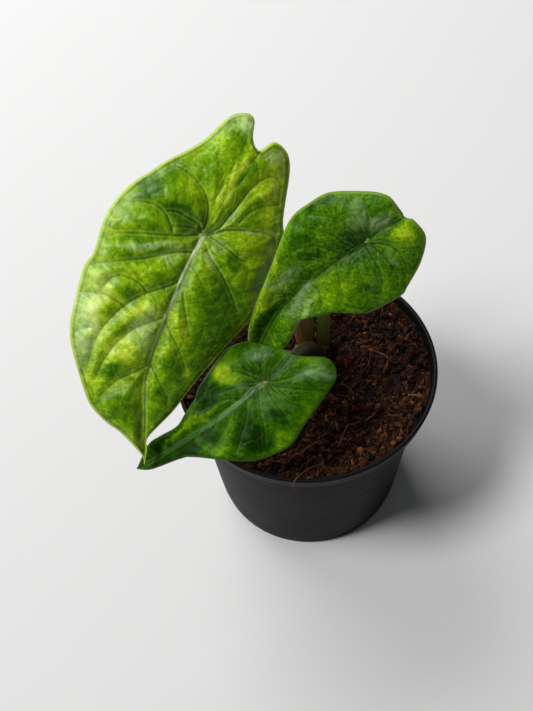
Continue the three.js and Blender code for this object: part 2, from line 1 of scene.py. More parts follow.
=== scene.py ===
"""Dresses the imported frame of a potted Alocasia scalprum: quilted and variegated
blades, their stalks, a dry sheath, the rhizome, coir and a black nursery pot.

Lengths are millimetres, except in the meshes and for the lights, floor and camera, which
are in metres. A blade is drawn flat, as (along, across) from the point where the stalk
joins it, and lifted by one height function.
"""
import math
from functools import partial
from itertools import combinations
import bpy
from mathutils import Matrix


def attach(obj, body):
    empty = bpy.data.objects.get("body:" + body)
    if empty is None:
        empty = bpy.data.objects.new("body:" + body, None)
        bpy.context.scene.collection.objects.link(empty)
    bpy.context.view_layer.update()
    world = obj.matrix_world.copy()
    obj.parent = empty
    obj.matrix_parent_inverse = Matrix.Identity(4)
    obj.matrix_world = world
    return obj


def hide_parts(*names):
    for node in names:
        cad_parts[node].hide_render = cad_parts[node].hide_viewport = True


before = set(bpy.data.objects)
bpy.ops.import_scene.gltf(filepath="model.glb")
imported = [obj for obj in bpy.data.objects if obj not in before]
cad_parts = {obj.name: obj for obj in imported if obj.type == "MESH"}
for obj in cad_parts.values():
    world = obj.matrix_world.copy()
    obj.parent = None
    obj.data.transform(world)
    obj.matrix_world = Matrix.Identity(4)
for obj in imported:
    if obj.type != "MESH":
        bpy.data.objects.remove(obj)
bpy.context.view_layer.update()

from types import SimpleNamespace

import bmesh
import bpy
import numpy as np
from mathutils import Matrix, Vector
from mathutils.geometry import delaunay_2d_cdt

MM = 0.001
TURN = 2 * math.pi
COUNT_SHARE = 1

# the sizes that the solids are made from
GAP = 0.3
RIM_RADIUS, STEP_RADIUS, BASE_RADIUS = 50, 44.4, 36.5
POT_HEIGHT, STEP_HEIGHT = 77, 70.6
WALL, FLOOR_THICKNESS, LIP_THICKNESS = 1.3, 1.5, 1.6
DRAIN_COUNT, DRAIN_RADIUS, DRAIN_RING_RADIUS, DRAIN_SIDES = 6, 3, 24, 32
SOIL_LEVEL, SOIL_EDGE_LEVEL, SOIL_LUMP = 72.8, 73.4, 0.8
SOIL_DRAWS, SOIL_SEED, CHIP_COUNT = 540, 8513, 44
RHIZOME_X, RHIZOME_Y, RHIZOME_RADIUS, RHIZOME_TOP = 3, 11.8, 8, 73.6
PUFF_WIDTH, PUFF_MORE, PUFF_SINK = 3.2, 1.35, 0.15
GROOVE_WIDTH, FOLD_SOFTNESS = 2.5, 3
NECK_DROP, CLASP_SHARE = 8, 0.16

# Blades. midrib, left and right are the outline's lines from the flat tip to the notch,
# and rib is the midrib as it is drawn. A vein is (strength, points). Rows of tones and of
# silver, the silvery tissue with a painted sheen on it, are (along, across, half length, half
# width, turn in degrees, strength). The last lines of each are the height function and the
# stalk that carries the blade.
LARGE_LEAF = dict(
    name="leaf_large", joint=(-34, 10.5, 147), tip=(-60, -51.5, 99), facing=(0.16, -0.65, 0.74),
    midrib=[
        (83.5, -1), (60.5, 6), (53.5, 7), (27.5, 5), (8, 2), (0, 0), (-10.5, -2.5), (-21.5, -6.5),
        (-33, -11.5),
    ],
    left=[
        (80, 1), (74, 10), (71.5, 16), (68, 21.5), (63.5, 25.5), (49, 34), (41.5, 36.5),
        (35.5, 37), (21, 37), (15, 35), (1.5, 34), (-9.5, 29), (-16.5, 23), (-21, 19), (-31, 8.5),
        (-41.5, 1.5), (-44, -2), (-44.5, -5.5), (-42.5, -7.5), (-38, -8), (-34.5, -9.5),
    ],
    right=[
        (77.5, -0.5), (73, 0.5), (61.5, -6), (47, -12), (25.5, -23.5), (11.5, -27.5), (-5.5, -28),
        (-13, -26), (-27, -24.5), (-33.5, -22.5), (-36.5, -19.5), (-37.5, -16), (-36, -14),
        (-34, -12.5),
    ],
    rib=[
        (-0.5, 0), (4, 1), (9, 2.5), (16, 4), (20.5, 4.5), (25, 5), (30.5, 6), (36.5, 6.5),
        (42, 7), (47.5, 7), (53, 7), (60, 5.5), (67, 3.5), (73, 2),
    ],
    veins=[
        (1, [(-1.5, 0.5), (-7, 0.5), (-11.5, 2), (-15.5, 5), (-19, 10), (-20.5, 15.5)]),
        (1, [(-1.5, 1), (-3.5, 3.5), (-4.5, 7.5), (-5.5, 11), (-5, 14.5)]),
        (0.9, [(1.5, 11), (-1.5, 13), (-4.5, 16), (-6, 20), (-5.5, 24.5), (-4.5, 29)]),
        (0.7, [(-1, 1), (-1.5, 5), (-1, 9), (-0.5, 11.5)]),
        (1, [(0, 1.5), (2, 7.5), (3.5, 15), (5, 22.5), (6.5, 28.5), (9.5, 33.5)]),
        (1, [(6.5, 2.5), (8.5, 9.5), (12, 16.5), (15, 24.5), (18.5, 33.5)]),
        (1, [(16, 4), (19, 6.5), (21.5, 10.5), (24.5, 15), (28.5, 19.5), (33.5, 23), (39.5, 26),
            (46, 27.5), (54.5, 27.5)]),
        (0.8, [(24, 14), (21.5, 17.5), (20.5, 21), (20.5, 25), (23, 28), (26.5, 29)]),
        (0.8, [(30.5, 20.5), (29, 24), (28, 28), (28.5, 32.5), (29, 36.5)]),
        (0.7, [(40, 26), (40, 29), (41.5, 32.5), (43.5, 34.5)]),
        (0.9, [(30.5, 6.5), (34, 11.5), (38, 16.5), (44, 20.5), (50.5, 23), (57, 24)]),
        (0.8, [(47.5, 7), (51.5, 11.5), (55, 16), (59, 19), (63, 21)]),
        (1, [(-1, -1), (-3, -4), (-7, -6), (-12.5, -8.5), (-18.5, -11), (-23.5, -14.5),
            (-26, -18.5), (-24.5, -21.5)]),
        (0.7, [(-7.5, -10.5), (-11.5, -13), (-14.5, -16.5), (-17, -23)]),
        (1, [(-0.5, -1.5), (-3.5, -6.5), (-5, -12), (-6, -18.5), (-6, -23.5), (-3.5, -25.5)]),
        (1, [(0, -2.5), (1, -5.5), (2.5, -9), (4.5, -13), (5, -16.5)]),
        (1, [(4.5, -2), (7.5, -4.5), (11, -8.5), (16, -13), (22.5, -18)]),
        (0.8, [(21, 2.5), (25, 1), (29.5, -1), (35, -3.5)]),
        (0.6, [(31, 6), (35, 3.5), (40.5, -1.5), (48, -6)]),
        (0.6, [(47.5, 7), (51, 4), (54.5, 1), (58, -2)]),
        (0.35, [(-2.5, -1.5), (-10.5, -4.5), (-21, -7.5), (-31, -11)]),
        (0.3, [(-4.5, 0), (-17, -1), (-28.5, -4.5), (-37, -6)]),
        (0.5, [(11, 2.5), (13.5, -0.5), (16.5, -3)]),
    ],
    tones=[
        (-15, 20, 10, 8, 0, -0.4), (-40, -2, 7, 6, 0, -0.3), (-23, -17, 8, 7, 0, 0.55),
        (71, 1, 9, 5, 0, -0.4), (32, -10, 2.8, 2.2, 15, 0.45), (54, -2, 3.2, 2.1, 2, 0.4),
        (-12, 22, 6.1, 4, 44, -0.3), (-5, 8, 8.3, 4.4, -71, -0.75), (-21, 5, 6.2, 3.1, 7, -0.35),
        (-33, 4, 4.2, 2.7, 31, 0.3), (-24, -8, 4.9, 2.4, 17, -0.45),
        (-21, -4, 14.5, 2.4, 18, 0.65), (-13, -21, 3.8, 3.7, -35, 0.45),
        (-12, -14, 4.9, 2.1, 21, -0.4), (-1, -23, 3, 2.4, 81, 0.35),
        (6, -13, 4.6, 2.8, -53, -0.65), (22, -11, 10.4, 7.2, -7, -0.7),
        (38, -10, 9.8, 8.1, 0, -0.55), (53, -1, 10.6, 3.5, -1, -0.75), (32, 0, 7.6, 1.7, -30, 0.4),
        (47, -7, 3.2, 1.8, -17, 0.45), (59, -1, 3.5, 2.1, 3, 0.4), (53, 19, 4.8, 3.1, 54, -0.85),
        (66, 12, 6.9, 3.9, 66, -0.45), (37, 17, 5.4, 2.1, 55, -0.55), (5, 18, 12.9, 1.4, 75, -0.5),
        (11, 17, 13.6, 1, 75, -0.35), (4, 32, 3.3, 3, 70, 0.2), (1, 19, 4.7, 2.4, -85, -0.35),
        (-11, 17, 6.8, 2.7, 60, 0.25), (-8, 13, 7.5, 2.4, 85, -0.45), (16, 18, 7.4, 3, 70, 0.3),
        (18, 9, 4.8, 2.7, 51, -0.4), (26, 21, 4.7, 2.4, 85, -0.35), (74, 1, 9.5, 1.7, -15, 0.7),
        (60, 6, 5.7, 1.7, -15, 0.4), (25, 30, 7.5, 4.7, -14, 0.4), (37, 29, 8.9, 4.7, -14, 0.45),
        (45, 19, 6.8, 4.1, 54, 0.7), (33, 15, 6.2, 4.8, 4, 0.5), (-42, -3, 2.8, 2.7, 40, 0.35),
        (-33, -17, 3.4, 3.2, -4, 0.35), (57, 24, 4.9, 2.7, -33, 0.4),
        (18, -20, 10.4, 3.4, 5, -0.15),
    ],
    silver=[
        (38, 32, 17.1, 5, -14, 0.8), (-1, 31, 8.1, 3.7, 45, 0.5), (-41, -3, 3.5, 3.1, 66, 0.7),
        (-33, -16, 3.9, 3.1, 72, 0.7), (2, -5, 4.4, 2.7, -86, 0.5), (8, 17, 14.3, 1.4, 75, 0.7),
        (23, 30, 8.8, 4, -14, 0.4), (36, 12, 9, 5, 0, 0.6), (60, 15, 6.9, 1.8, 50, 0.5),
        (-18, 19, 8.9, 1.7, 45, 0.4), (10, 9, 5.5, 1.7, 71, 0.5), (8, -3, 4.1, 1.7, -44, 0.5),
        (-6, -20, 8.2, 1, 80, 0.5), (-39, -5, 3.4, 2.4, -11, 0.3),
    ],
    arch=(0.0016, 15), camber=(0.003, 0.0084), fold=(0, 0, 1), groove_depth=0.8, dimple=(2.6, 9),
    roll_off=(2.2, 2), ripple=(0.8, 4.5), puff=1.5, foot=2.5, neck=1.7, clasp=1,
    bends=[(0.6, 14.6, 73.9), (-1.2, 16.8, 90), (-8, 20, 113), (-20.5, 21.5, 130.5)],
)

RIGHT_LEAF = dict(
    name="leaf_right", joint=(20, -2.5, 154), tip=(-20.5, -15, 103.2), facing=(-0.26, -0.84, 0.47),
    midrib=[
        (66, 0), (45, 6), (22.5, 5.5), (0, 0), (-6.5, -1), (-12.5, -2.5), (-17, -3.5),
    ],
    left=[
        (61, 4.5), (50, 11.5), (29, 18), (15, 23), (8.5, 24), (3, 23), (-4.5, 20.5), (-10.5, 15),
        (-13.5, 12), (-16.5, 9), (-18.5, 6), (-19, 3),
    ],
    right=[
        (59, -2.5), (52, -3.5), (45, -3.5), (37, -1.5), (33, -2.5), (25, -8), (21, -13.5),
        (17.5, -17.5), (7, -21.5), (2.5, -21), (-7.5, -18.5), (-16.5, -13.5), (-18.5, -7),
        (-17.5, -5),
    ],
    rib=[
        (0, -1), (4, 0.5), (7.5, 2), (11, 3), (15.5, 4), (20, 4.5), (25, 5.5), (30.5, 6),
        (38.5, 6), (46.5, 5),
    ],
    veins=[
        (0.8, [(0.5, 0.5), (-1, 4), (-2, 8), (-2, 11.5), (0, 15.5), (3.5, 19.5)]),
        (0.8, [(0, 0.5), (-3.5, 3.5), (-6, 7.5), (-7.5, 11.5), (-8.5, 15)]),
        (1, [(-0.5, -0.5), (-4.5, 1.5), (-8.5, 4), (-10, 6.5), (-11, 9.5)]),
        (0.8, [(-1, -0.5), (-6, 0), (-12, 0), (-17.5, 2.5)]),
        (0.8, [(3.5, 0.5), (4, 5), (4, 10.5), (7.5, 17.5)]),
        (0.9, [(7, 2), (8.5, 7), (10.5, 12), (16.5, 17)]),
        (0.7, [(12.5, 3.5), (14.5, 8.5), (17.5, 13), (21.5, 16)]),
        (0.7, [(22, 4.5), (24, 9), (27.5, 12), (31.5, 14.5)]),
        (0.8, [(30.5, 6), (33, 8), (35.5, 10), (38.5, 11)]),
        (1, [(-0.5, -1.5), (-4, -4), (-6.5, -7.5), (-6, -11.5), (-3.5, -15.5), (-1, -18.5)]),
        (0.9, [(-0.5, -2), (-1.5, -6), (-1, -11), (1, -15.5), (4, -18)]),
        (0.9, [(1, -1.5), (2, -5.5), (3, -9.5), (6.5, -13.5), (11.5, -16.5)]),
        (0.7, [(6, 1), (7.5, -4), (11, -10), (14, -15)]),
        (0.6, [(11.5, 2.5), (14.5, -1.5), (18, -6), (20, -11)]),
        (0.7, [(23, 5), (23, 0.5), (25.5, -3)]),
    ],
    tones=[
        (5, 2, 8, 7, 0, -0.35), (-9, -9, 6, 5, 0, 0.3), (36, 11, 10.3, 2.9, -3, 0.6),
        (22, -4, 6.3, 3.4, 45, 0.2), (-14, -9, 4.6, 4.4, 2, 0.9), (17, -3, 9.2, 5.8, 21, 0.4),
        (45, 6, 12.9, 3.1, -12, -0.45), (1, 4, 4.7, 3, 80, -0.5), (-1, 20, 5, 1.9, 31, -0.4),
        (-11, 15, 8.2, 1, 46, 0.3), (33, 15, 22.5, 1.5, -20, 0.6), (14, 10, 4, 2.2, 60, -0.5),
        (12, 5, 4.1, 2.2, 22, 0.3), (2, -6, 4.7, 3.4, 72, -0.15), (10, -12, 2.2, 2, -40, -0.5),
        (5, -15, 4.6, 3, -49, 0.2), (-14, -2, 2.6, 2.2, 86, -0.4), (24, 14, 3.3, 3.1, 52, 0.35),
        (32, 0, 10.5, 1.7, -5, 0.45), (12, 18, 4.7, 3, 48, -0.25),
    ],
    silver=[
        (27, 12.5, 8.6, 2.2, 16, 0.55), (30, 4, 9.6, 2.1, -4, 0.6), (-7, 8, 4.9, 3.3, -32, 0.45),
        (-10, 1, 6.3, 3.1, 11, 0.55), (32, 0, 10.5, 1.3, -5, 0.5), (-4, -10, 4.8, 1.4, -68, 0.35),
        (8, -12, 4.5, 1, -21, 0.3), (33, 10.5, 5, 1.4, 16, 0.3),
    ],
    arch=(0.001, 20), camber=(0.005, 0.006), fold=(0.78, 5, 50), groove_depth=0.6, dimple=(3.2, 8),
    roll_off=(2.4, 1.6), ripple=(0.9, 3.5), puff=1, foot=2.5, neck=1.7, clasp=1.15,
    bends=[(7.2, 13.4, 73.9), (8, 14.6, 95), (12, 14.6, 120), (18.6, 10.6, 141)],
)

FRONT_LEAF = dict(
    name="leaf_front", joint=(-16.5, -28.5, 112.5), tip=(-64, -46, 87),
    facing=(-0.18, -0.42, 0.88),
    midrib=[
        (57.5, 0.5), (30, -1), (6, -1), (0, 0), (-5, 0), (-10, 0.5), (-14.5, 2),
    ],
    left=[
        (52, 3.2), (47, 5.2), (42, 5), (35, 4.3), (30, 6), (24, 8.5), (20, 12), (9, 16.5),
        (4, 17.5), (-2.5, 15.5), (-6.5, 11.5), (-13.5, 4),
    ],
    right=[
        (52, -3), (40.5, -6), (35.5, -8.5), (19.5, -20.5), (8.5, -23.5), (3, -23.5), (-2, -21.5),
        (-17, -15.5), (-23, -12), (-23.5, -6), (-16, 0),
    ],
    rib=[
        (0, -0.5), (4.5, -0.5), (9, -1.5), (15, -2), (21.5, -2.5), (30.5, -2), (39.5, -1.5),
        (46, -1), (51, -0.5),
    ],
    veins=[
        (0.9, [(0.5, 1), (-0.5, 5.5), (0, 8.5), (0.5, 11.5)]),
        (0.9, [(0, 1), (-2, 4.5), (-4.5, 7), (-6.5, 8)]),
        (0.8, [(-0.5, 0), (-4.5, 2), (-9, 3), (-11.5, 3.5)]),
        (1, [(1, 0.5), (3, 4.5), (5.5, 7.5), (10, 12)]),
        (1, [(3, 0), (6.5, 2.5), (11, 4), (16.5, 5.5)]),
        (0.8, [(10, -1), (13.5, 1.5), (18, 3), (24.5, 3.5)]),
        (0.6, [(20, -2), (23.5, 0), (29, 0)]),
        (1, [(-1, -0.5), (-5.5, -3), (-11, -5), (-17, -6), (-21, -7.5), (-22.5, -10.5)]),
        (1, [(-0.5, -1), (-6, -6.5), (-11.5, -11), (-16, -14)]),
        (1, [(0, -0.5), (-2, -6), (-4, -11.5), (-8, -16)]),
        (1, [(0.5, -0.5), (0.5, -7.5), (0, -14), (0.5, -19.5)]),
        (1, [(3, -1), (6, -8), (8.5, -14.5), (12, -19.5)]),
        (0.9, [(8, -1.5), (11, -7), (15.5, -11), (21, -15.5)]),
        (0.8, [(13.5, -2), (18, -5.5), (24, -8.5), (28, -10.5)]),
        (0.7, [(20.5, -2.5), (24.5, -4.5), (30, -6.5)]),
        (0.5, [(28.5, -2.5), (32.5, -3.5), (39, -3.5)]),
    ],
    tones=[
        (10, 9, 6.7, 3.1, 44, 0.75), (5, -22, 7, 4, -2, 0.35), (13, -13, 6.2, 4.2, -55, -0.5),
        (2, -13, 3.5, 2.8, -55, -0.5), (25, -5, 3.4, 3.1, 46, -0.45),
        (20, 7, 4.5, 3.7, -37, -0.45), (21, -11, 6.9, 2.9, -53, 0.3), (31, 0, 8.3, 1.7, 5, 0.2),
        (-20, -6, 4.8, 3.4, 54, 0.25), (7, 4, 4.1, 1.4, 33, 0.3), (41, -4, 11.9, 2.6, 16, -0.6),
        (-3, -20, 4.9, 2.7, -16, 0.1), (13, 12, 5.1, 4.5, -81, 0.5), (5, 13, 6.5, 3, 7, 0.3),
        (-16, -3, 7, 2.1, 39, 0.4), (-10, -18, 7.6, 3.3, -31, 0.3), (8, -22, 7, 2.4, -2, 0.35),
        (25, -13, 6.5, 1.7, 33, 0.4), (14, -14, 5.3, 3.8, 32, -0.4), (-9, 0, 5.8, 1.4, -8, -0.6),
        (30, 1, 14.2, 1.2, -2, 0.65),
    ],
    silver=[
        (-19, -8, 5.8, 3.2, 43, 0.5), (-4, 9, 5.8, 2.8, 16, 0.4), (-9, 0, 6.4, 1.8, -13, 0.45),
        (8, 3, 4.1, 1.4, 33, 0.4), (-14, 3, 4.2, 1.7, 34, 0.2), (4, -6, 5, 2.8, 36, 0.35),
        (-12, -7, 4.2, 2.2, 34, 0.4), (-17, -8, 7.4, 1.6, 40, 0.4), (-5, 7, 3.6, 1.7, 15, 0.4),
    ],
    arch=(0.002, 8), camber=(0.0085, 0.006), fold=(0.42, 10, 48), groove_depth=0.5, dimple=(3, 7),
    roll_off=(1.5, 2), ripple=(0.6, 3.5), puff=1, foot=2.8, neck=1.5, clasp=2,
    bends=[(2, 7.6, 73.9), (1.4, 4.4, 83), (-4.2, -7, 96), (-11.5, -19.5, 104)],
)

LIME = [
    (0, (0.014, 0.065, 0.0005)), (0.22, (0.034, 0.108, 0.0006)), (0.4, (0.078, 0.18, 0.001)),
    (0.55, (0.14, 0.265, 0.002)), (0.7, (0.245, 0.375, 0.006)), (0.85, (0.38, 0.50, 0.03)),
    (1, (0.50, 0.60, 0.09)),
]
GREEN = [
    (0, (0.004, 0.022, 0.0003)), (0.2, (0.011, 0.048, 0.0004)), (0.4, (0.028, 0.095, 0.0005)),
    (0.55, (0.055, 0.145, 0.0006)), (0.7, (0.10, 0.205, 0.001)), (0.85, (0.165, 0.275, 0.002)),
    (1, (0.27, 0.37, 0.01)),
]
PALE_STALK = [
    (0, (0.07, 0.05, 0.02)), (0.05, (0.11, 0.10, 0.02)), (0.2, (0.085, 0.13, 0.015)),
    (0.6, (0.09, 0.16, 0.02)), (1, (0.14, 0.23, 0.03)),
]
# the front stalk's olive colours along its length, with painted shade making it nearly black from
# just above its foot to about half way up, under the front blade
SHADED_OLIVE_STALK = [
    (0, (0.10, 0.085, 0.04)), (0.05, (0.034, 0.024, 0.006)), (0.48, (0.024, 0.021, 0.003)),
    (0.62, (0.05, 0.06, 0.008)), (0.8, (0.08, 0.13, 0.02)), (1, (0.11, 0.19, 0.03)),
]
# what each blade looks like: the large, the right and the front one
LOOKS = dict(
    piece=("blade_large", "blade_right", "blade_front"),
    slot=("leaf_lime", "leaf_mid_green", "leaf_deep_green"),
    seed=(11, 23, 37),
    grid=((300, 74), (230, 62), (210, 58)),
    quick_grid=((200, 50), (160, 42), (150, 40)),
    thickness=(0.6, 0.55, 0.55),
    # relief: creases, the line inside the margin, pleats round the joint, the rib, cells
    crease=(0.42, 0.3, 0.3),
    rim_line=(0.18, 0.06, 0.05),
    rim_line_at=(2.8, 2.4, 2.4),
    pleats=(17, 23, 19),
    pleat_reach=(6, 8, 8),
    pleat_height=(0.06, 0.18, 0.22),
    ridges=(0.1, 0.15, 0.16),
    lumps=(0.1, 0.14, 0.15),
    rib_height=(0.9, 0.8, 0.8),
    rib_crease=(0.3, 1, 0.3),
    rib_raise=(0.5, 0, 0.25),
    cell=(6, 5, 5),
    cell_depth=(0.26, 0.3, 0.2),
    seam=(0.25, 0.9, 0.8),
    # variegation
    ramp=(LIME, GREEN, GREEN),
    tone=(0.1, -0.2, -0.65),
    patch=(1.35, 1.35, 1.6),
    streaks=(1.5, 1.6, 1.3),
    blotches=(1.1, 1, 1.1),
    clouds=(2.5, 2.4, 2.2),
    mottle=(1.9, 2.4, 1.6),
    specks=(0.35, 0.7, 0.35),
    # how strongly each feature is painted
    netting=(0.1, 0.08, 0.08),
    shadow=(0.2, 0.15, 0.15),
    # painted shade in the vein creases
    crease_dark=(0.85, 0.6, 0.5),
    # painted highlight on the flanks beside each vein
    flank=(0.25, 0.15, 0.15),
    midrib_share=(0.95, 0, 0.6),
    midrib_width=(0.78, 0.5, 1.3),
    midrib_solid=(0.5, 0.5, 0.1),
    midrib_end=(0.08, 0.2, 0.3),
    # painted sheen on the band just inside the margin
    rim_pale=(0.3, 0, 0),
    rim_dark=(0.45, 0, 0),
    # silvery tissue with a painted sheen on it
    silver_share=(0.5, 0.75, 0.5),
    brush=((0.7, 1, 3), (0.12, 3.2, 3), (0.3, 1.8, 3)),
    # painted glints on the folds round the joint
    pucker=(0.15, 0.32, 0.28),
    spot=(0, 0, 0.4),
    roughness=(0.17, 0.2, 0.16),
    relief=(0.26, 0.28, 0.3),
    gloss=(0.11, 0.045, 0.03),
    vein_colour=((0.34, 0.46, 0.04), (0.12, 0.2, 0.03), (0.11, 0.19, 0.04)),
    # colour of the painted shade in the creases, also used for the dark line inside the margin
    crease_colour=((0.012, 0.042, 0.0006), (0.006, 0.028, 0.001), (0.005, 0.022, 0.001)),
    # colour of the painted highlight beside each vein
    flank_colour=((0.36, 0.48, 0.08), (0.14, 0.23, 0.03), (0.13, 0.22, 0.04)),
    shadow_colour=((0.03, 0.09, 0.0006), (0.01, 0.045, 0.0006), (0.008, 0.035, 0.0006)),
    # colour of the silvery tissue, also painted as sheen and glints
    silver_colour=((0.5, 0.6, 0.32), (0.23, 0.32, 0.16), (0.2, 0.3, 0.15)),
    edge_colour=((0.3, 0.42, 0.04), (0.12, 0.2, 0.02), (0.03, 0.075, 0.003)),
    midrib_colour=((0.6, 0.66, 0.46), (0.05, 0.1, 0.02), (0.16, 0.24, 0.12)),
    # the stalk
    stalk_seed=(36, 36, 39),
    stalk_tints=(PALE_STALK, PALE_STALK, SHADED_OLIVE_STALK),
    stalk_pale=(0.25, 0.25, 0.1),
)
LEAVES = [
    SimpleNamespace(**shape, **dict(zip(LOOKS, row)))
    for shape, row in zip((LARGE_LEAF, RIGHT_LEAF, FRONT_LEAF), zip(*LOOKS.values()))
]
UNDERSIDE, UNDERSIDE_VEIN = (0.13, 0.21, 0.04), (0.28, 0.37, 0.12)
UNDERSIDE_DARK = (0.05, 0.11, 0.02)
JOINT_SPOT = (0.1, 0.02, 0.01)
TONE_STEPS, STEPPED_SHARE = 6, 0.85
CREASE_WIDTH = 0.7
BLADE_SINK = 0.08


# numbers
class Lattice:
    """Smooth repeatable noise in space, about -1 to 1, from a seeded lattice."""

    SIZE = 32

    def __init__(self, seed):
        self.values = np.random.default_rng(seed).uniform(-1, 1, (self.SIZE,) * 3)

    def __call__(self, points):
        cell = np.floor(points).astype(int)
        part = points - cell
        part = part * part * (3 - 2 * part)
        total = 0
        for corner in np.ndindex(2, 2, 2):
            weight = np.prod(np.where(corner, part, 1 - part), axis=-1)
            i, j, k = np.moveaxis((cell + corner) % self.SIZE, -1, 0)
            total = total + weight * self.values[i, j, k]
        return total

    def layered(self, points, octaves=3, fade=0.5):
        return sum(self(points * 2.03**n + 7.3 * n) * fade**n for n in range(octaves))


def vectors(*parts):
    """Points from their coordinates, each an array or a number."""
    return np.stack(np.broadcast_arrays(*parts), -1)


def unit(vector):
    return vector / np.linalg.norm(vector)


def circle(count):
    return np.linspace(0, TURN, count, endpoint=False)


def smooth(values, low, high):
    share = np.clip((values - low) / (high - low), 0, 1)
    return share * share * (3 - 2 * share)


def bell(values, width):
    return np.exp(-((values / width) ** 2))


def curve(points, steps=40):
    """A Catmull-Rom curve: plain through flat points, centripetal through others."""
    points = np.asarray(points, float)
    plain = points.shape[1] == 2
    before, after = (0, 0) if plain else (points[1] - points[0], points[-1] - points[-2])
    padded = np.vstack([points[0] - before, points, points[-1] + after])
    t = np.linspace(0, 1, steps, endpoint=False)[:, None]
    parts = []
    for p0, p1, p2, p3 in zip(padded, padded[1:], padded[2:], padded[3:]):
        v0, v1 = (p2 - p0) / 2, (p3 - p1) / 2
        if not plain:
            d0, d1, d2 = (np.linalg.norm(b - a) ** 0.5 for a, b in ((p0, p1), (p1, p2), (p2, p3)))
            v0 = ((p1 - p0) / d0 - (p2 - p0) / (d0 + d1) + (p2 - p1) / d1) * d1
            v1 = ((p2 - p1) / d1 - (p3 - p1) / (d1 + d2) + (p3 - p2) / d2) * d1
        bend, twist = 3 * (p2 - p1) - 2 * v0 - v1, 2 * (p1 - p2) + v0 + v1
        parts.append(twist * t**3 + bend * t**2 + v0 * t + p1)
    return np.vstack([*parts, points[-1:]])


def at_share(line, share):
    """Points of a polyline at shares of its length."""
    reach = np.r_[0, np.cumsum(np.linalg.norm(np.diff(line, axis=0), axis=1))]
    return vectors(*(np.interp(share, reach / reach[-1], axis) for axis in line.T))


def even(points, count):
    """Evenly spaced points on the curve through the given ones."""
    return at_share(curve(points), np.linspace(0, 1, count))


def line_distance(points, line):
    """Distance to a polyline, and the share of its length at the nearest point."""
    best, place = np.full(points.shape[:-1], 1e9), np.zeros(points.shape[:-1])
    for i, (start, end) in enumerate(zip(line, line[1:])):
        step = end - start
        share = np.clip(((points - start) @ step) / (step @ step), 0, 1)
        distance = np.linalg.norm(points - start - share[..., None] * step, axis=-1)
        nearer = distance < best
        best = np.where(nearer, distance, best)
        place = np.where(nearer, (i + share) / (len(line) - 1), place)
    return best, place


# meshes
def add_object(name, data):
    made = bpy.data.objects.new(name, data)
    bpy.context.scene.collection.objects.link(made)
    return made


def mesh_piece(name, points, faces, values={}, uv=None):
    """A smooth shaded piece. faces is a list of arrays of corners, values holds a number
    or vector for each point by name, and uv has a place for each corner of the faces."""
    mesh = bpy.data.meshes.new(name)
    corners = [face for block in faces for face in block.tolist()]
    mesh.from_pydata((points * MM).tolist(), [], corners, shade_flat=False)
    for key, numbers in values.items():
        kind, field = ("FLOAT", "value") if numbers.ndim == 1 else ("FLOAT_VECTOR", "vector")
        layer = mesh.attributes.new(key, kind, "POINT")
        layer.data.foreach_set(field, numbers.astype(float).ravel())
    if uv is not None:
        mesh.uv_layers.new(name="OFBake").data.foreach_set("uv", uv.ravel())
    mesh.validate()
    return add_object(name, mesh)


def dress(piece, material, slot, *nodes):
    """The piece takes a material, rides on the one body and stands for CAD nodes."""
    piece.data.materials.clear()
    piece.data.materials.append(material)
    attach(piece, "root")
    if nodes:
        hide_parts(*nodes)


def grid_faces(rows, columns, wrap=False):
    """Quads between rows of points; wrap closes each row on itself."""
    i, j = np.indices((rows - 1, columns if wrap else columns - 1))
    a, b = i * columns + j, i * columns + (j + 1) % columns
    return vectors(a, b, b + columns, a + columns).reshape(-1, 4)


def tube_faces(rows, sides):
    """Faces of rings of points, with two more points that close the ends in fans."""
    k, last = np.arange(sides), (rows - 1) * sides
    after = (k + 1) % sides
    fans = [vectors(rows * sides, after, k), vectors(rows * sides + 1, last + k, last + after)]
    return [grid_faces(rows, sides, True), *fans]


def closed_tube(rings):
    """Points and faces of a tube with flat ends."""
    points = np.vstack([rings.reshape(-1, 3), rings[[0, -1]].mean(1)])
    return points, tube_faces(*rings.shape[:2])


def tube(path, radii, sides, squeeze=1):
    """Rings of points along a path, turned as little as they can be."""
    along = np.gradient(path, axis=0)
    along /= np.linalg.norm(along, axis=1, keepdims=True)
    normal = np.cross(along[0], (0, 0, 1))
    if np.linalg.norm(normal) < 0.2:
        normal = np.cross(along[0], (0, 1, 0))
    normals = []
    for direction in along:
        normal = unit(normal - direction * (normal @ direction))
        normals.append(normal)
    normals, binormals = np.array(normals), np.cross(along, normals)
    angle = circle(sides)[:, None]
    spokes = normals[:, None] * np.cos(angle) + binormals[:, None] * np.sin(angle)
    spokes *= np.reshape(radii, (len(path), -1, 1))
    spokes[..., 0] *= squeeze
    return path[:, None] + spokes


# blades
def blade_frame(leaf):
    joint = np.array(leaf.joint, float)
    along = unit(leaf.tip - joint)
    up = unit(leaf.facing - along * (leaf.facing @ along))
    return joint, along, np.cross(along, up), up


def blade_height(leaf, x, sideways, edge, share, hollow, seam):
    """Height of the upper face over the blade's plane, as the solid has it."""
    left = sideways > 0
    bend, crest = leaf.arch
    slope, start, end = leaf.fold
    folded = smooth(x, start, end)
    height = bend * (crest**2 - (x - crest) ** 2)
    camber = np.where(left, *leaf.camber) * sideways**2
    height -= camber * (1 - folded if slope > 0 else 1)
    height += slope * folded * (np.hypot(sideways, FOLD_SOFTNESS) - FOLD_SOFTNESS)
    height += leaf.groove_depth * (1 - seam * bell(sideways, GROOVE_WIDTH))
    depth, radius = leaf.dimple
    height += depth * (1 - bell(np.hypot(x, sideways), radius))
    height -= np.where(left, *leaf.roll_off) * edge**6
    rise, waves = leaf.ripple
    height += rise * edge**3 * np.sin(TURN * waves * share)
    return height + leaf.puff * (PUFF_MORE * (1 - hollow) - PUFF_SINK) * (1 - edge**5)


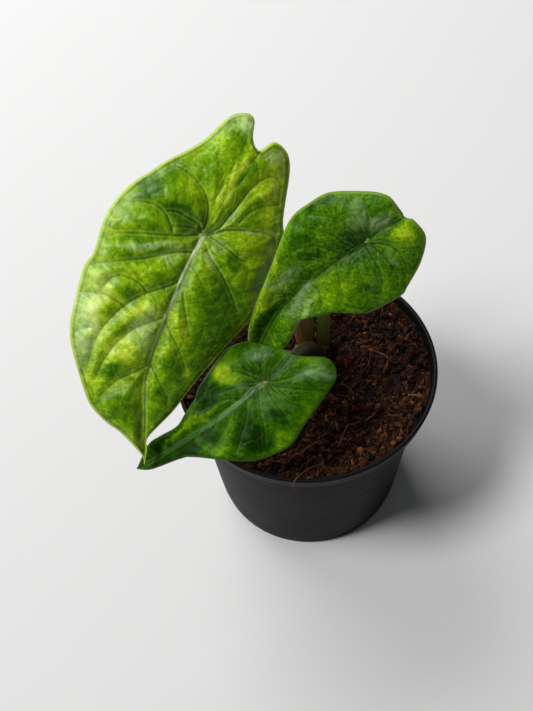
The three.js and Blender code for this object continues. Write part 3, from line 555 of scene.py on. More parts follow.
def patches(flat, rows):
    """Sum of soft ellipses."""
    total = 0
    for x, y, long, short, turn, strength in rows:
        cosine, sine = math.cos(math.radians(turn)), math.sin(math.radians(turn))
        dx, dy = flat[..., 0] - x, flat[..., 1] - y
        u, v = (dx * cosine + dy * sine) / long, (dy * cosine - dx * sine) / short
        total = total + strength * np.exp(-((u * u + v * v) ** 2))
    return total


def quilting(flat, spacing, seed):
    """Distance to the edges between cells of a jittered grid of centres."""
    low, high = flat.min((0, 1)) - spacing, flat.max((0, 1)) + spacing
    steps = [np.arange(a, b, spacing) for a, b in zip(low, high)]
    centres = np.stack(np.meshgrid(*steps, indexing="ij"), -1)
    jitter = np.random.default_rng(seed).uniform(-0.42, 0.42, centres.shape)
    centres = (centres + jitter * spacing).reshape(-1, 2)
    nearest, second = np.full((2, *flat.shape[:2]), 1e9)
    at, other = np.zeros((2, *flat.shape[:2]), int)
    for k, centre in enumerate(centres):
        gap = np.linalg.norm(flat - centre, axis=-1)
        closer, between = gap < nearest, gap < second
        second = np.where(closer, nearest, np.where(between, gap, second))
        other = np.where(closer, at, np.where(between, k, other))
        nearest, at = np.where(closer, gap, nearest), np.where(closer, k, at)
    apart = np.linalg.norm(centres[at] - centres[other], axis=-1)
    return (second**2 - nearest**2) / (2 * apart)


def warp(flat, noise, size):
    """Smooth shifts of flat points, about -1 to 1, for ragged outlines."""
    place = vectors(*np.moveaxis(flat / size, -1, 0), 0)
    return vectors(noise(place + 3.7), noise(place + 11.3))


def vein_fields(leaf, flat):
    """Distance to the nearest vein and its strength, the sunk puffs and the creases."""
    ahead = [point for point in leaf.midrib if point[0] >= 0]
    behind = [point for point in leaf.midrib if point[0] <= 0]
    veins = [(1, ahead, 0), (leaf.seam, behind, 0)]
    veins += [(strength, points, 0.55) for strength, points in leaf.veins]
    vein = np.full(flat.shape[:2], 1e9)
    strength, hollow, creases = np.zeros((3, *flat.shape[:2]))
    for full, points, fade in veins:
        distance, place = line_distance(flat, even(points, 16))
        sunk = full * (1 - 0.3 * fade * place)
        hollow = np.maximum(hollow, sunk * np.exp(-((distance / PUFF_WIDTH) ** 1.4)))
        drawn = 1
        if points is ahead:
            drawn = leaf.rib_crease
            distance, place = line_distance(flat, even([*leaf.rib, ahead[0]], 30))
        force = full * (1 - fade * place)
        nearer = distance < vein
        vein, strength = np.where(nearer, distance, vein), np.where(nearer, force, strength)
        creases = np.maximum(creases, drawn * force * np.exp(-distance / CREASE_WIDTH))
    return vein, strength, hollow, creases


def blade(leaf):
    """The whole blade as one closed mesh with a rounded margin."""
    joint, along, across, up = blade_frame(leaf)
    noise = Lattice(leaf.seed)
    rungs, columns = leaf.grid
    tip, notch = leaf.midrib[0], leaf.midrib[-1]
    share = np.linspace(0, 1, rungs + 1)
    inner = at_share(curve(leaf.midrib), share + 0.5 * share * (1 - share) * (1 - 3 * share))
    margins = [curve([tip, *side, notch]) for side in (leaf.left, leaf.right)]
    left, right = (at_share(margin, share)[:, None] for margin in margins)
    reach = 1 - (1 - np.linspace(0, 1, columns + 1) ** 1.15) ** 1.1
    edge = np.r_[-reach[:0:-1], reach]
    inner, outer = inner[:, None], np.where(edge[:, None] < 0, right, left)
    flat = inner + (outer - inner) * np.abs(edge)[:, None]
    edge, share = np.broadcast_arrays(np.abs(edge), share[:, None])
    x, y = np.moveaxis(flat, -1, 0)
    line = even(leaf.midrib, 61)
    sideways = y - np.interp(x, *line[np.argsort(line[:, 0])].T)

    vein, strength, hollow, creases = vein_fields(leaf, flat)
    cells = quilting(flat + 0.8 * warp(flat, noise, 5), leaf.cell, leaf.seed)
    rims = (line_distance(flat, at_share(margin, np.linspace(0, 1, 70)))[0] for margin in margins)
    rim = np.minimum(*rims)
    radius, angle = np.hypot(x, y), np.arctan2(y, x)
    seam = np.where(x < 0, leaf.seam + (1 - leaf.seam) * smooth(x, -8, 0), 1)
    seam = seam * smooth(np.linalg.norm(flat - notch, axis=-1), 0, 5)
    height = blade_height(leaf, x, sideways, edge, share, hollow, seam)

    # fine relief that the solid leaves out: creases at the veins, the raised rib, cells,
    # a line inside the margin, pleats round the joint, ridges and lumps
    height -= leaf.crease * creases * smooth(rim, 0.2, 2)
    side = y - np.interp(x, *np.array(leaf.rib).T)
    raised = smooth(x, -1, 2) * (1 - 0.8 * smooth(x, 0, 0.9 * tip[0]))
    height += leaf.rib_raise * bell(side, 0.6) * raised
    height -= leaf.cell_depth * np.exp(-cells / 0.9) * smooth(rim, 0.5, 3)
    height -= leaf.rim_line * np.exp(-np.abs(rim - leaf.rim_line_at) / 0.5)
    wobble = noise(vectors(np.cos(angle) * 2.2, np.sin(angle) * 2.2, radius / 9))
    pleat = np.sin(leaf.pleats * angle + 4 * wobble) * smooth(radius, 0.8, 3)
    height += leaf.pleat_height * pleat * bell(radius, leaf.pleat_reach)
    ridge = noise.layered(vectors(share * rungs / 7, edge * 2.4 + (sideways > 0) * 9, 0), 2)
    height += leaf.ridges * ridge * smooth(edge, 0.03, 0.2) * smooth(rim, 0, 1.5)
    height += leaf.lumps * noise.layered(vectors(x / 6, y / 6, 0), 2) * smooth(rim, 0, 3)

    half = 0.5 * leaf.thickness
    round_off = half * np.sqrt(1 - (1 - np.clip(rim / half, 0, 1)) ** 2)
    rib = bell(sideways, 1) * smooth(edge, -0.1, 0.05) * (1 - 0.75 * np.clip(x / tip[0], 0, 1))
    rib = leaf.rib_height * (rib + 0.25 * bell(vein, 0.6) * strength) * smooth(rim, 0, 1.5)

    def placed(z):
        z = (z - half - BLADE_SINK)[..., None]
        return joint + flat[..., :1] * along + flat[..., 1:] * across + z * up

    def wrapped(upper, lower):
        """The upper face's numbers and back along the lower face, then tip and notch."""
        ring = np.concatenate([upper[1:-1], lower[1:-1, -2:0:-1]], 1)
        return np.concatenate([ring.reshape(-1, *upper.shape[2:]), upper[[0, -1], 0]])

    ragged = 2.4 * warp(flat, noise, 6) + 1.1 * warp(flat, noise, 1.9)
    values = dict(
        flat=vectors(x, y, leaf.seed), rung=vectors(share * 118, edge * 3, sideways > 0),
        vein=vein, strength=strength, side=side, rim=rim, cells=cells,
        tone=leaf.tone + leaf.patch * patches(flat + ragged, leaf.tones),
        silver=patches(flat + 0.6 * ragged, leaf.silver),
    )
    values = {key: wrapped(grid, grid) for key, grid in values.items()}
    values["under"] = wrapped(np.zeros(flat.shape[:2]), np.ones(flat.shape[:2]))
    points = wrapped(placed(height + round_off), placed(height - round_off - rib))
    faces = tube_faces(len(flat) - 2, 2 * flat.shape[1] - 2)
    faces = [np.roll(block[:, ::-1], 1, axis=1) for block in faces]

    # each face of the leaf has its own half of the bake's map
    low, high = flat.min((0, 1)), flat.max((0, 1))
    spread = (values["flat"][:, :2] - low) / (high - low) * (0.48, 0.96) + (0.01, 0.02)
    uv = []
    for block in faces:
        lower = values["under"][block].max(1)[:, None, None]
        uv.append((spread[block] + lower * (0.5, 0)).reshape(-1, 2))
    return mesh_piece(leaf.piece, points, faces, values, np.vstack(uv))


# materials
class Shader:
    """One material's node tree. Sockets and plain values are both taken as inputs."""

    SOCKETS = {
        "colour": "Base Color", "roughness": "Roughness", "normal": "Normal",
        "specular": "Specular IOR Level", "subsurface": "Subsurface Weight",
        "radii": "Subsurface Radius", "scale": "Subsurface Scale",
    }

    def __init__(self, name):
        self.material = bpy.data.materials.new(name)
        self.material.use_nodes = True
        self.tree = self.material.node_tree

    def put(self, socket, value):
        if isinstance(value, bpy.types.NodeSocket):
            self.tree.links.new(value, socket)
        elif socket.type == "RGBA":
            socket.default_value = (*value, 1)
        else:
            socket.default_value = value

    def node(self, kind, inputs, output=0, **settings):
        node = self.tree.nodes.new("ShaderNode" + kind)
        for key, value in settings.items():
            setattr(node, key, value)
        for key, value in inputs.items():
            self.put(node.inputs[key], value)
        return node.outputs[output]

    def attributes(self, *names, output="Fac"):
        return [self.node("Attribute", {}, output, attribute_name=name) for name in names]

    def math(self, operation, *values):
        return self.node("Math", dict(enumerate(values)), operation=operation)

    def add(self, first, *others):
        for other in others:
            first = self.math("ADD", first, other)
        return first

    def times(self, first, *others):
        for other in others:
            first = self.math("MULTIPLY", first, other)
        return first

    def centred(self, value, reach):
        return self.times(self.math("SUBTRACT", value, 0.5), reach)

    def span(self, value, low, high, new_low=0, new_high=1, style="SMOOTHSTEP"):
        inputs = dict(zip(range(5), (value, low, high, new_low, new_high)))
        return self.node("MapRange", inputs, interpolation_type=style)

    def fade(self, value, low, high, new_low=1, new_high=0):
        return self.span(value, low, high, new_low, new_high)

    def noise(self, place, scale, detail=3, rough=0.5, distortion=0):
        return self.node("TexNoise", {"Vector": place, "Scale": scale, "Detail": detail,
                                      "Roughness": rough, "Distortion": distortion})

    def vector(self, operation, *values, output=0):
        return self.node("VectorMath", dict(enumerate(values)), output, operation=operation)

    def stretched(self, place, *factors):
        return self.vector("MULTIPLY", place, factors)

    def paint(self, colour, tint, *shares):
        return self.node("Mix", {0: self.times(*shares), 6: colour, 7: tint}, 2, data_type="RGBA")

    def ramp(self, value, stops):
        colour = self.node("ValToRGB", {0: value})
        marks = colour.node.color_ramp.elements
        while len(marks) < len(stops):
            marks.new(1)
        for mark, (place, tint) in zip(marks, stops):
            mark.position, mark.color = place, (*tint, 1)
        return colour

    def bump(self, height, depth_mm, strength=1):
        inputs = {"Height": height, "Distance": depth_mm * MM, "Strength": strength}
        return self.node("Bump", inputs)

    def finish(self, **sockets):
        for key, value in sockets.items():
            self.put(self.tree.nodes["Principled BSDF"].inputs[self.SOCKETS[key]], value)
        return self.material


def leaf_material(leaf):
    s = Shader(leaf.piece)
    flat, rung = s.attributes("flat", "rung", output="Vector")
    vein, strength, side, rim = s.attributes("vein", "strength", "side", "rim")
    tone, silver, under, cells = s.attributes("tone", "silver", "under", "cells")
    level_flat = s.stretched(flat, 1, 1, 0)
    radius = s.vector("LENGTH", level_flat, output="Value")
    radial = s.vector("NORMALIZE", level_flat)
    along = s.node("SeparateXYZ", {0: flat})
    length = leaf.midrib[0][0]

    def rays(spokes, drift, detail, rough):
        """Noise that runs out from the joint."""
        place = s.vector("ADD", s.stretched(radial, spokes, spokes, 0),
                         s.stretched(flat, drift, drift, 1))
        return s.noise(place, 1, detail, rough)

    # variegation
    near_joint = s.fade(radius, 3, leaf.pleat_reach * 1.5)
    streaks = s.noise(s.stretched(rung, 0.42, 0.22, 5), 1, 5, 0.62, 0.4)
    streaks = s.add(s.times(streaks, s.math("SUBTRACT", 1, near_joint)),
                    s.times(rays(6, 0.12, 4, 0.65), near_joint))
    blotches = s.noise(flat, 0.12, 5, 0.62, 0.8)
    clouds = s.noise(flat, 0.33, 6, 0.68, 0.5)
    mottle = s.noise(flat, 0.7, 6, 0.8, 0.4)
    specks = s.noise(flat, 1, 4, 0.7, 1)
    level = s.add(
        tone, s.centred(streaks, leaf.streaks), s.centred(blotches, leaf.blotches),
        s.centred(clouds, leaf.clouds), s.centred(mottle, leaf.mottle),
        s.times(s.span(specks, 0.55, 0.62), -leaf.specks),
        s.times(s.fade(specks, 0.38, 0.45), 0.6 * leaf.specks),
    )
    # part of the tones goes up in soft steps, so that patches get crisp edges
    level = s.times(s.span(level, -1.5, 1.5, style="LINEAR"), TONE_STEPS)
    step = s.math("FRACT", level)
    stepped = s.math("SUBTRACT", s.span(step, 0.35, 0.65), step)
    level = s.add(level, s.times(stepped, STEPPED_SHARE))
    colour = s.ramp(s.times(level, 1 / TONE_STEPS), leaf.ramp)

    # netting, veins with painted shade in and beside their creases and a painted highlight on
    # their flanks, and the midrib
    netting = s.fade(cells, 0, 0.35)
    colour = s.paint(colour, leaf.vein_colour, netting, leaf.netting)
    colour = s.paint(colour, leaf.shadow_colour, s.fade(vein, 0.2, 2.2), strength, leaf.shadow)
    # painted shade: darker in the crease along each vein
    crease = s.times(s.fade(vein, 0.1, 0.45), s.math("MULTIPLY_ADD", strength, 0.75, 0.1))
    colour = s.paint(colour, leaf.crease_colour, crease, leaf.crease_dark)
    # painted highlight: a paler line on the flanks beside each vein
    flank = s.times(s.span(vein, 0.35, 0.6), s.fade(vein, 0.7, 1.3))
    colour = s.paint(colour, leaf.flank_colour, flank, strength, leaf.flank)
    taper = s.span(along, 0, length, leaf.midrib_width, 0.22, "LINEAR")
    off_rib = s.math("DIVIDE", s.math("ABSOLUTE", side), taper)
    fibres = s.noise(s.stretched(flat, 0.35, 4, 1), 1, 3, 0.6)
    colour = s.paint(
        colour, leaf.midrib_colour, s.fade(off_rib, 0.55, 1.1), s.span(along, -1, 0.6),
        s.fade(along, 0.12 * length, 0.6 * length, 1, leaf.midrib_end),
        s.fade(along, 0.7 * length, 0.92 * length),
        s.span(fibres, 0.3, 0.62, leaf.midrib_solid, 1), leaf.midrib_share,
    )

    # margin: a painted sheen on the band inside it, a thin dark line and the edge's own colour
    within = s.fade(rim, leaf.rim_line_at - 0.9, leaf.rim_line_at - 0.1)
    colour = s.paint(colour, leaf.edge_colour, s.span(rim, 0.2, 0.9), within,
                     s.span(streaks, 0.35, 0.6), leaf.rim_pale)
    dark_line = s.times(s.span(rim, 0.7, 1.1), s.fade(rim, 1.3, 2))
    # the crease shade's colour also draws a thin dark line inside the margin
    colour = s.paint(colour, leaf.crease_colour, dark_line, leaf.rim_dark)
    colour = s.paint(colour, leaf.edge_colour, s.fade(rim, 0.35, 0.95), 0.75)

    # silvery tissue with a painted sheen on it, painted glints on the folds round the joint, and
    # the joint's spot
    brushed = s.noise(s.stretched(rung, *leaf.brush), 1, 5, 0.72, 0.3)
    brushed = s.span(s.add(brushed, s.centred(mottle, 0.3)), 0.4, 0.6, 0.3, 1)
    colour = s.paint(colour, leaf.silver_colour, s.span(silver, 0, 1), brushed, leaf.silver_share)
    # painted glints: pale streaks running out along the folds round the joint
    glint_rays = s.span(rays(9, 0.33, 3, 0.6), 0.55, 0.66)
    colour = s.paint(colour, leaf.silver_colour, s.fade(radius, 1.5, leaf.pleat_reach * 1.7),
                     glint_rays, leaf.pucker)
    colour = s.paint(colour, JOINT_SPOT, s.fade(radius, 0.6, 1.5), leaf.spot)

    below = s.paint(UNDERSIDE, UNDERSIDE_VEIN, s.fade(vein, 0.2, 0.9))
    below = s.paint(below, UNDERSIDE_DARK, s.span(clouds, 0.4, 0.65, 0, 0.6))
    relief = s.add(s.times(streaks, 0.6), s.times(mottle, 0.4), s.times(netting, -0.15),
                   s.times(s.noise(flat, 5, 3, 0.6), 0.15))
    roughness = s.add(leaf.roughness, s.centred(mottle, 0.15), s.times(under, 0.25),
                      s.fade(rim, 0, 0.6, 0.4))
    return s.finish(
        colour=s.paint(colour, below, under), roughness=roughness,
        normal=s.bump(relief, leaf.relief, 0.8), specular=leaf.gloss,
        subsurface=0.05, radii=(0.5, 1, 0.15), scale=0.0006,
    )


for leaf in LEAVES:
    dress(blade(leaf), leaf_material(leaf), leaf.slot, leaf.name)


# stalks
def stalk_mesh(leaf, sides=28):
    joint, _, _, up = blade_frame(leaf)
    path = even([*leaf.bends, joint - up * NECK_DROP, joint - up * 0.4], 141)
    share, angle = np.linspace(0, 1, len(path))[:, None], circle(sides)
    grain = vectors(3 * np.cos(angle), 3 * np.sin(angle), 6 * share)
    radii = leaf.foot + (leaf.neck - leaf.foot) * share + 0.5 * bell(1 - share, 0.018)
    grain = Lattice(leaf.stalk_seed).layered(grain)
    radii = radii * (1 + 0.035 * grain + 0.012 * np.sin(9 * angle))
    rings = tube(path, radii, sides, 1 + (leaf.clasp - 1) * bell(share, CLASP_SHARE))
    rings[0, :, 2] = RHIZOME_TOP - 0.6
    turn = np.r_[np.tile(angle, len(path)), 0, 0]
    rise = np.r_[np.repeat(share, sides), 0, 1]
    values = dict(along=rise, round=vectors(np.cos(turn), np.sin(turn), rise * 20))
    return mesh_piece(leaf.name.replace("leaf", "petiole"), *closed_tube(rings), values)


def stalk_material(leaf):
    s = Shader(leaf.name.replace("leaf", "stalk") + "_skin")
    (around,), (along,) = s.attributes("round", output="Vector"), s.attributes("along")
    lines = s.noise(s.stretched(around, 5, 5, 0.1), 1, 3, 0.6)
    marks = s.noise(s.stretched(around, 1.3, 1.3, 0.55), 1, 3, 0.6, 0.4)
    pale = s.span(along, 0.05, 0.4, 0.2 * leaf.stalk_pale, leaf.stalk_pale)
    # colours along the stalk; the front stalk's ramp holds painted shade on its lower half
    colour = s.ramp(along, leaf.stalk_tints)
    colour = s.paint(colour, (0.22, 0.27, 0.09), s.span(lines, 0.4, 0.7), pale)
    colour = s.paint(colour, (0.08, 0.12, 0.02), s.span(marks, 0.55, 0.7, 0, 0.35))
    return s.finish(colour=colour, roughness=0.42, specular=0.2, subsurface=0.12,
                    normal=s.bump(s.add(lines, s.times(marks, 0.4)), 0.12, 0.7),
                    radii=(0.8, 1, 0.3), scale=0.001)


for leaf in LEAVES:
    dress(stalk_mesh(leaf), stalk_material(leaf), "stalk", leaf.name.replace("leaf", "stalk"))

# sheath
SHEATH_HEIGHT, SHEATH_RADIUS, SHEATH_BULGE = 22, 3.45, 0.5
SHEATH_HALF_WRAP, SHEATH_TURN = math.radians(150), math.radians(-75)


def sheath_mesh(levels=70, columns=110):
    """A thin torn scale, closed by a wall between its outer and inner face."""
    noise = Lattice(5)
    path = even(LEAVES[0].bends[:3], 400)
    across, rise = np.meshgrid(np.linspace(-1, 1, columns), np.linspace(0, 1, levels))
    angle = SHEATH_TURN + SHEATH_HALF_WRAP * np.sqrt(1 - 0.985 * rise) * across
    torn = 0.84 * noise(vectors(across * 6, 0, 3)) * rise**4
    height = RHIZOME_TOP - 0.4 + SHEATH_HEIGHT * rise + torn
    centre_x, centre_y = (np.interp(height, path[:, 2], path[:, k]) for k in (0, 1))
    pleats = noise.layered(vectors(angle * 5, rise * 1.6, 0))
    curl = 0.5 * np.abs(across) ** 6 * (0.4 + rise)
    radius = SHEATH_RADIUS + SHEATH_BULGE * np.sin(np.pi * rise) + 0.22 * pleats + curl
    thin = 0.03 + 0.14 * np.sqrt((1 - across**12) * (1 - rise**14))
    faces = [vectors(centre_x + r * np.cos(angle), centre_y + r * np.sin(angle), height)
             for r in (radius + thin, radius - thin)]
    grid = np.arange(levels * columns).reshape(levels, columns)
    ring = np.r_[grid[0], grid[1:, -1], grid[-1, -2::-1], grid[-2:0:-1, 0]]
    after = np.roll(ring, -1)
    quads = grid_faces(levels, columns)
    wall = vectors(ring, ring + grid.size, after + grid.size, after)
    values = dict(sheath=vectors(angle * 3, rise * 3, 0), rise=rise, out=np.abs(across))
    values = {key: np.concatenate([v, v]).reshape(-1, *v.shape[2:]) for key, v in values.items()}
    points = np.concatenate(faces).reshape(-1, 3)
    return mesh_piece("dry_bract", points, [quads, quads[:, ::-1] + grid.size, wall], values)


def sheath_material():
    s = Shader("dry_bract")
    (place,), (rise, out) = s.attributes("sheath", output="Vector"), s.attributes("rise", "out")
    fibres = s.noise(s.stretched(place, 4, 0.35, 1), 1, 4, 0.65)
    stains = s.noise(s.stretched(place, 0.6, 0.5, 1), 1, 3, 0.6, 0.5)
    colour = s.ramp(s.add(rise, s.centred(stains, 0.7)), [
        (0, (0.19, 0.085, 0.015)), (0.3, (0.24, 0.11, 0.025)), (0.6, (0.20, 0.11, 0.045)),
        (1, (0.24, 0.16, 0.085)),
    ])
    colour = s.paint(colour, (0.38, 0.25, 0.12), s.span(fibres, 0.4, 0.7, 0, 0.6))
    colour = s.paint(colour, (0.28, 0.22, 0.12), s.span(out, 0.9, 1, 0, 0.6))
    return s.finish(colour=colour, roughness=0.5, specular=0.2, subsurface=0.15,
                    normal=s.bump(fibres, 0.25, 0.8), radii=(1, 0.6, 0.3), scale=0.001)


dress(sheath_mesh(), sheath_material(), "dry_sheath", "papery_sheath")


# rhizome
def rhizome_mesh(sides=96, levels=110):
    profile = even([
        (RHIZOME_RADIUS - 0.6, 0, 52), (RHIZOME_RADIUS + 0.1, 0, 62), (RHIZOME_RADIUS, 0, 70.5),
        (RHIZOME_RADIUS - 0.9, 0, 73), (RHIZOME_RADIUS * 0.62, 0, 74), (0.3, 0, 73.9),
    ], levels)
    angle = circle(sides)
    radius, height = profile[:, :1] + 0 * angle, profile[:, 2:] + 0 * angle
    places = vectors(radius * np.cos(angle) / 3, radius * np.sin(angle) / 3, height / 2)
    bark = Lattice(9).layered(places, 4)
    scars = bell((height + 0.6 * np.sin(angle)) % 2.6 - 1.3, 0.35)
    radius = radius + (0.35 * bark - 0.3 * scars) * smooth(radius, 1, 5)
    height = height + 0.25 * bark * smooth(height, 70, 73)
    x, y = RHIZOME_X + radius * np.cos(angle), RHIZOME_Y + radius * np.sin(angle)
    points, faces = closed_tube(vectors(x, y, height))
    return mesh_piece("corm", points, faces, dict(place=points))


def rhizome_material():
    s = Shader("corm_bark")
    (place,) = s.attributes("place", output="Vector")
    grain = s.noise(s.stretched(place, 1, 1, 2.2), 0.8, 5, 0.65)
    colour = s.ramp(grain, [
        (0.3, (0.035, 0.028, 0.010)), (0.5, (0.10, 0.075, 0.028)), (0.7, (0.20, 0.16, 0.07)),
    ])
    return s.finish(colour=colour, roughness=0.75, normal=s.bump(grain, 0.5))


dress(rhizome_mesh(), rhizome_material(), "rhizome_bark", "rhizome")

# soil
coir_noise = Lattice(41)


def soil_height(x, y):
    """The broad form of the coir's surface, as the solid has it."""
    heaped = (SOIL_EDGE_LEVEL - SOIL_LEVEL) * (np.hypot(x, y) / RIM_RADIUS) ** 3
    lumps = np.sin(0.42 * x + 1.3) * np.cos(0.37 * y - 0.4) + 0.6 * np.sin(0.9 * x - 0.7 * y)
    lumps = lumps + 0.5 * np.cos(0.8 * y + 0.5 * x + 2)
    return SOIL_LEVEL + heaped + SOIL_LUMP * 0.5 * lumps


def crumbly(x, y):
    """Height of the crumbly surface at points of the soil."""
    rough = coir_noise.layered(vectors(x / 2.3, y / 2.3, 0), 4, 0.6)
    ring = np.hypot(x - RHIZOME_X, y - RHIZOME_Y)
    heaped = 0.5 * bell(ring - RHIZOME_RADIUS, 2.5) - 0.9 * smooth(ring, 6.5, 3)
    return soil_height(x, y) + 0.85 * rough + heaped


def soil_mesh(rings=150, sectors=230):
    edge = RIM_RADIUS - LIP_THICKNESS - 0.9
    radius = [edge + 0.05, STEP_RADIUS - WALL - 0.1, BASE_RADIUS - WALL]
    radius = np.r_[np.linspace(0.05, edge, rings), radius][:, None]
    x, y = radius * np.cos(circle(sectors)), radius * np.sin(circle(sectors))
    height = crumbly(x, y)
    height[-3] = height[-4] - 0.8
    height[-2] = STEP_HEIGHT + 0.8
    height[-1] = FLOOR_THICKNESS + GAP
    points, faces = closed_tube(vectors(x, y, height))
    values = dict(place=points, shade=np.zeros(len(points)))
    return mesh_piece("coir_bed", points, [block[:, ::-1] for block in faces], values)


def soil_material():
    s = Shader("coir")
    (place,), (shade,) = s.attributes("place", output="Vector"), s.attributes("shade")
    grain, wide = s.noise(place, 1.1, 5, 0.7), s.noise(place, 0.12, 2)
    y = s.node("SeparateXYZ", {0: place}, 1)
    level = s.add(grain, s.times(shade, 0.42), s.centred(wide, 0.35), s.fade(y, -42, -12, 0.09))
    colour = s.ramp(level, [
        (0.25, (0.002, 0.0008, 0.0006)), (0.45, (0.010, 0.0028, 0.0012)),
        (0.6, (0.028, 0.0075, 0.0025)), (0.75, (0.070, 0.021, 0.006)),
        (0.95, (0.17, 0.066, 0.020)),
    ])
    normal = s.bump(s.noise(place, 2.2, 4, 0.7), 0.5, 0.9)
    return s.finish(colour=colour, roughness=0.85, normal=normal, specular=0.15)


coir = soil_material()
dress(soil_mesh(), coir, "coir", "soil")


def scatter(name, shapes):
    """Joins many small closed shapes, each (points, faces, shade), in one piece."""
    faces, start = {}, 0
    for points, blocks, _ in shapes:
        for block in blocks:
            faces.setdefault(block.shape[1], []).append(block + start)
        start += len(points)
    shade = np.concatenate([np.full(len(points), shade) for points, _, shade in shapes])
    points = np.vstack([points for points, _, _ in shapes])
    blocks = [np.vstack(block) for block in faces.values()]
    dress(mesh_piece(name, points, blocks, dict(place=points, shade=shade)), coir, "coir")


def ball(fine):
    """A unit ball with 20 triangles, or with 80 where it is fine."""
    golden = (1 + 5**0.5) / 2
    points = [unit(p) for a, b in ((1, golden), (-1, golden), (1, -golden), (-1, -golden))
              for p in ((a, b, 0), (0, a, b), (b, 0, a))]
    faces = []
    for a, b, c in combinations(range(12), 3):
        corners = np.array([points[a], points[b], points[c]])
        if np.linalg.norm(corners - np.roll(corners, 1, axis=0), axis=1).max() < 1.1:
            faces.append((a, b, c) if np.linalg.det(corners) > 0 else (a, c, b))
    coarse, middles = (faces if fine else []), {}
    for a, b, c in coarse:
        pairs = [frozenset(pair) for pair in ((a, b), (b, c), (c, a))]
        for pair in pairs:
            if pair not in middles:
                middles[pair] = len(points)
                points.append(unit(sum(points[k] for k in pair)))
        ab, bc, ca = (middles[pair] for pair in pairs)
        faces = [*faces, (a, ab, ca), (ab, b, bc), (ca, bc, c), (ab, bc, ca)]
    return np.array(points), np.array(faces[len(coarse):])


def clear_of_stalks(x, y, reach):
    return np.hypot(x - RHIZOME_X, y - RHIZOME_Y) > RHIZOME_RADIUS - 1.5 + reach


def crumbs(name, count, fine, low, high, seed, lift):
    """Crumbs of sizes from low to high, sunk in the surface but for a share of them."""
    rng = np.random.default_rng(seed)
    base, faces = ball(fine)
    shapes = []
    while len(shapes) < count:
        angle, radius = rng.uniform(0, TURN), 46.9 * rng.uniform() ** 0.5
        x, y = radius * math.cos(angle), radius * math.sin(angle)
        size = low + (high - low) * rng.uniform() ** 2.2
        if not clear_of_stalks(x, y, size) or radius + size > 47.3:
            continue
        bumps = 1 + 0.28 * rng.standard_normal(len(base)).clip(-1.6, 1.6)
        stretch = [rng.uniform(0.8, 1.7), rng.uniform(0.6, 1), rng.uniform(0.5, 0.95)]
        a, b, c = rng.uniform(0, TURN, 3)
        turn = Matrix.Rotation(a, 3, "Z") @ Matrix.Rotation(b, 3, "X") @ Matrix.Rotation(c, 3, "Z")
        points = (base * bumps[:, None] * stretch * size) @ np.array(turn).T
        points += (x, y, crumbly(x, y) + lift * size)
        shapes.append((points, [faces], rng.normal(0, 0.45)))
    scatter(name, shapes)


def chip_draws():
    """The same small random stream that places the solid's husk chips."""
    state, mask = SOIL_SEED, 0xFFFFFFFF
    while True:
        state = (state + 0x6D2B79F5) & mask
        t = (state ^ (state >> 15)) * (1 | state) & mask
        t = (t + ((t ^ (t >> 7)) * (61 | t) & mask) & mask) ^ t
        yield (t ^ (t >> 14)) / 2**32


def husk_chips():
    """Irregular husk chips at the places where the solid has its chips."""
    draw = partial(next, chip_draws())
    for _ in range(SOIL_DRAWS):
        draw()
    rng = np.random.default_rng(3)
    base, faces = ball(True)
    base = np.sign(base) * np.abs(base) ** 0.6
    shapes = []
    for _ in range(CHIP_COUNT):
        size = np.array([3.5 + 3.5 * draw(), 1.6 + 1.4 * draw(), 1.8 + draw()])
        tilt, turn = 0.6 * (draw() - 0.5), TURN * draw()
        x, y = RHIZOME_X, RHIZOME_Y
        while math.hypot(x - RHIZOME_X, y - RHIZOME_Y) <= RHIZOME_RADIUS + size[0] / 2 + 1:
            angle = TURN * draw()
            radius = (RIM_RADIUS - 7 - size[0] / 2) * math.sqrt(draw())
            x, y = radius * math.cos(angle), radius * math.sin(angle)
        rough = 1 + 0.16 * rng.standard_normal((len(base), 3)).clip(-1.5, 1.5)
        rotation = np.array(Matrix.Rotation(turn, 3, "Z") @ Matrix.Rotation(tilt, 3, "Y"))
        points = (base * rough * size * (0.5, 0.4, 0.42)) @ rotation.T
        points += (x, y, soil_height(x, y) + 0.2)
        shapes.append((points, [faces], rng.normal(0.1, 0.35)))
    scatter("husk_chips", shapes)


FIBRES = [
    [(26, -19), (20, -24), (14, -25), (11, -31), (9, -35)],
    [(26, 8), (31, 5), (31, 0), (29, -3)],
    [(35.4, -12.5), (38.5, -13.6), (41.6, -14.3)],
    [(19, 23), (22, 27), (24, 33)],
    [(28, -20), (32, -23)],
    [(2, -32), (-3, -35), (-6, -38)],
    [(-22, 22), (-27, 27), (-26, 33), (-20, 36)],
    [(-6, 30), (-1, 36), (6, 38)],
    [(-38, 4), (-34, 10), (-36, 16)],
    [(-16, -8), (-22, -5), (-28, -7)],
    [(12, -6), (17, -10), (16, -16)],
    [(-12, -34), (-17, -31), (-24, -31)],
]
OVERHANGING_FIBRE = [
    (3, -41.2, 73.8), (-1.2, -43.3, 75.6), (-4.3, -45.8, 76.9), (-6.6, -48.2, 77.6),
    (-7.8, -49.8, 77.2), (-8.3, -50.5, 75.4), (-7.3, -50.7, 73.6),
]


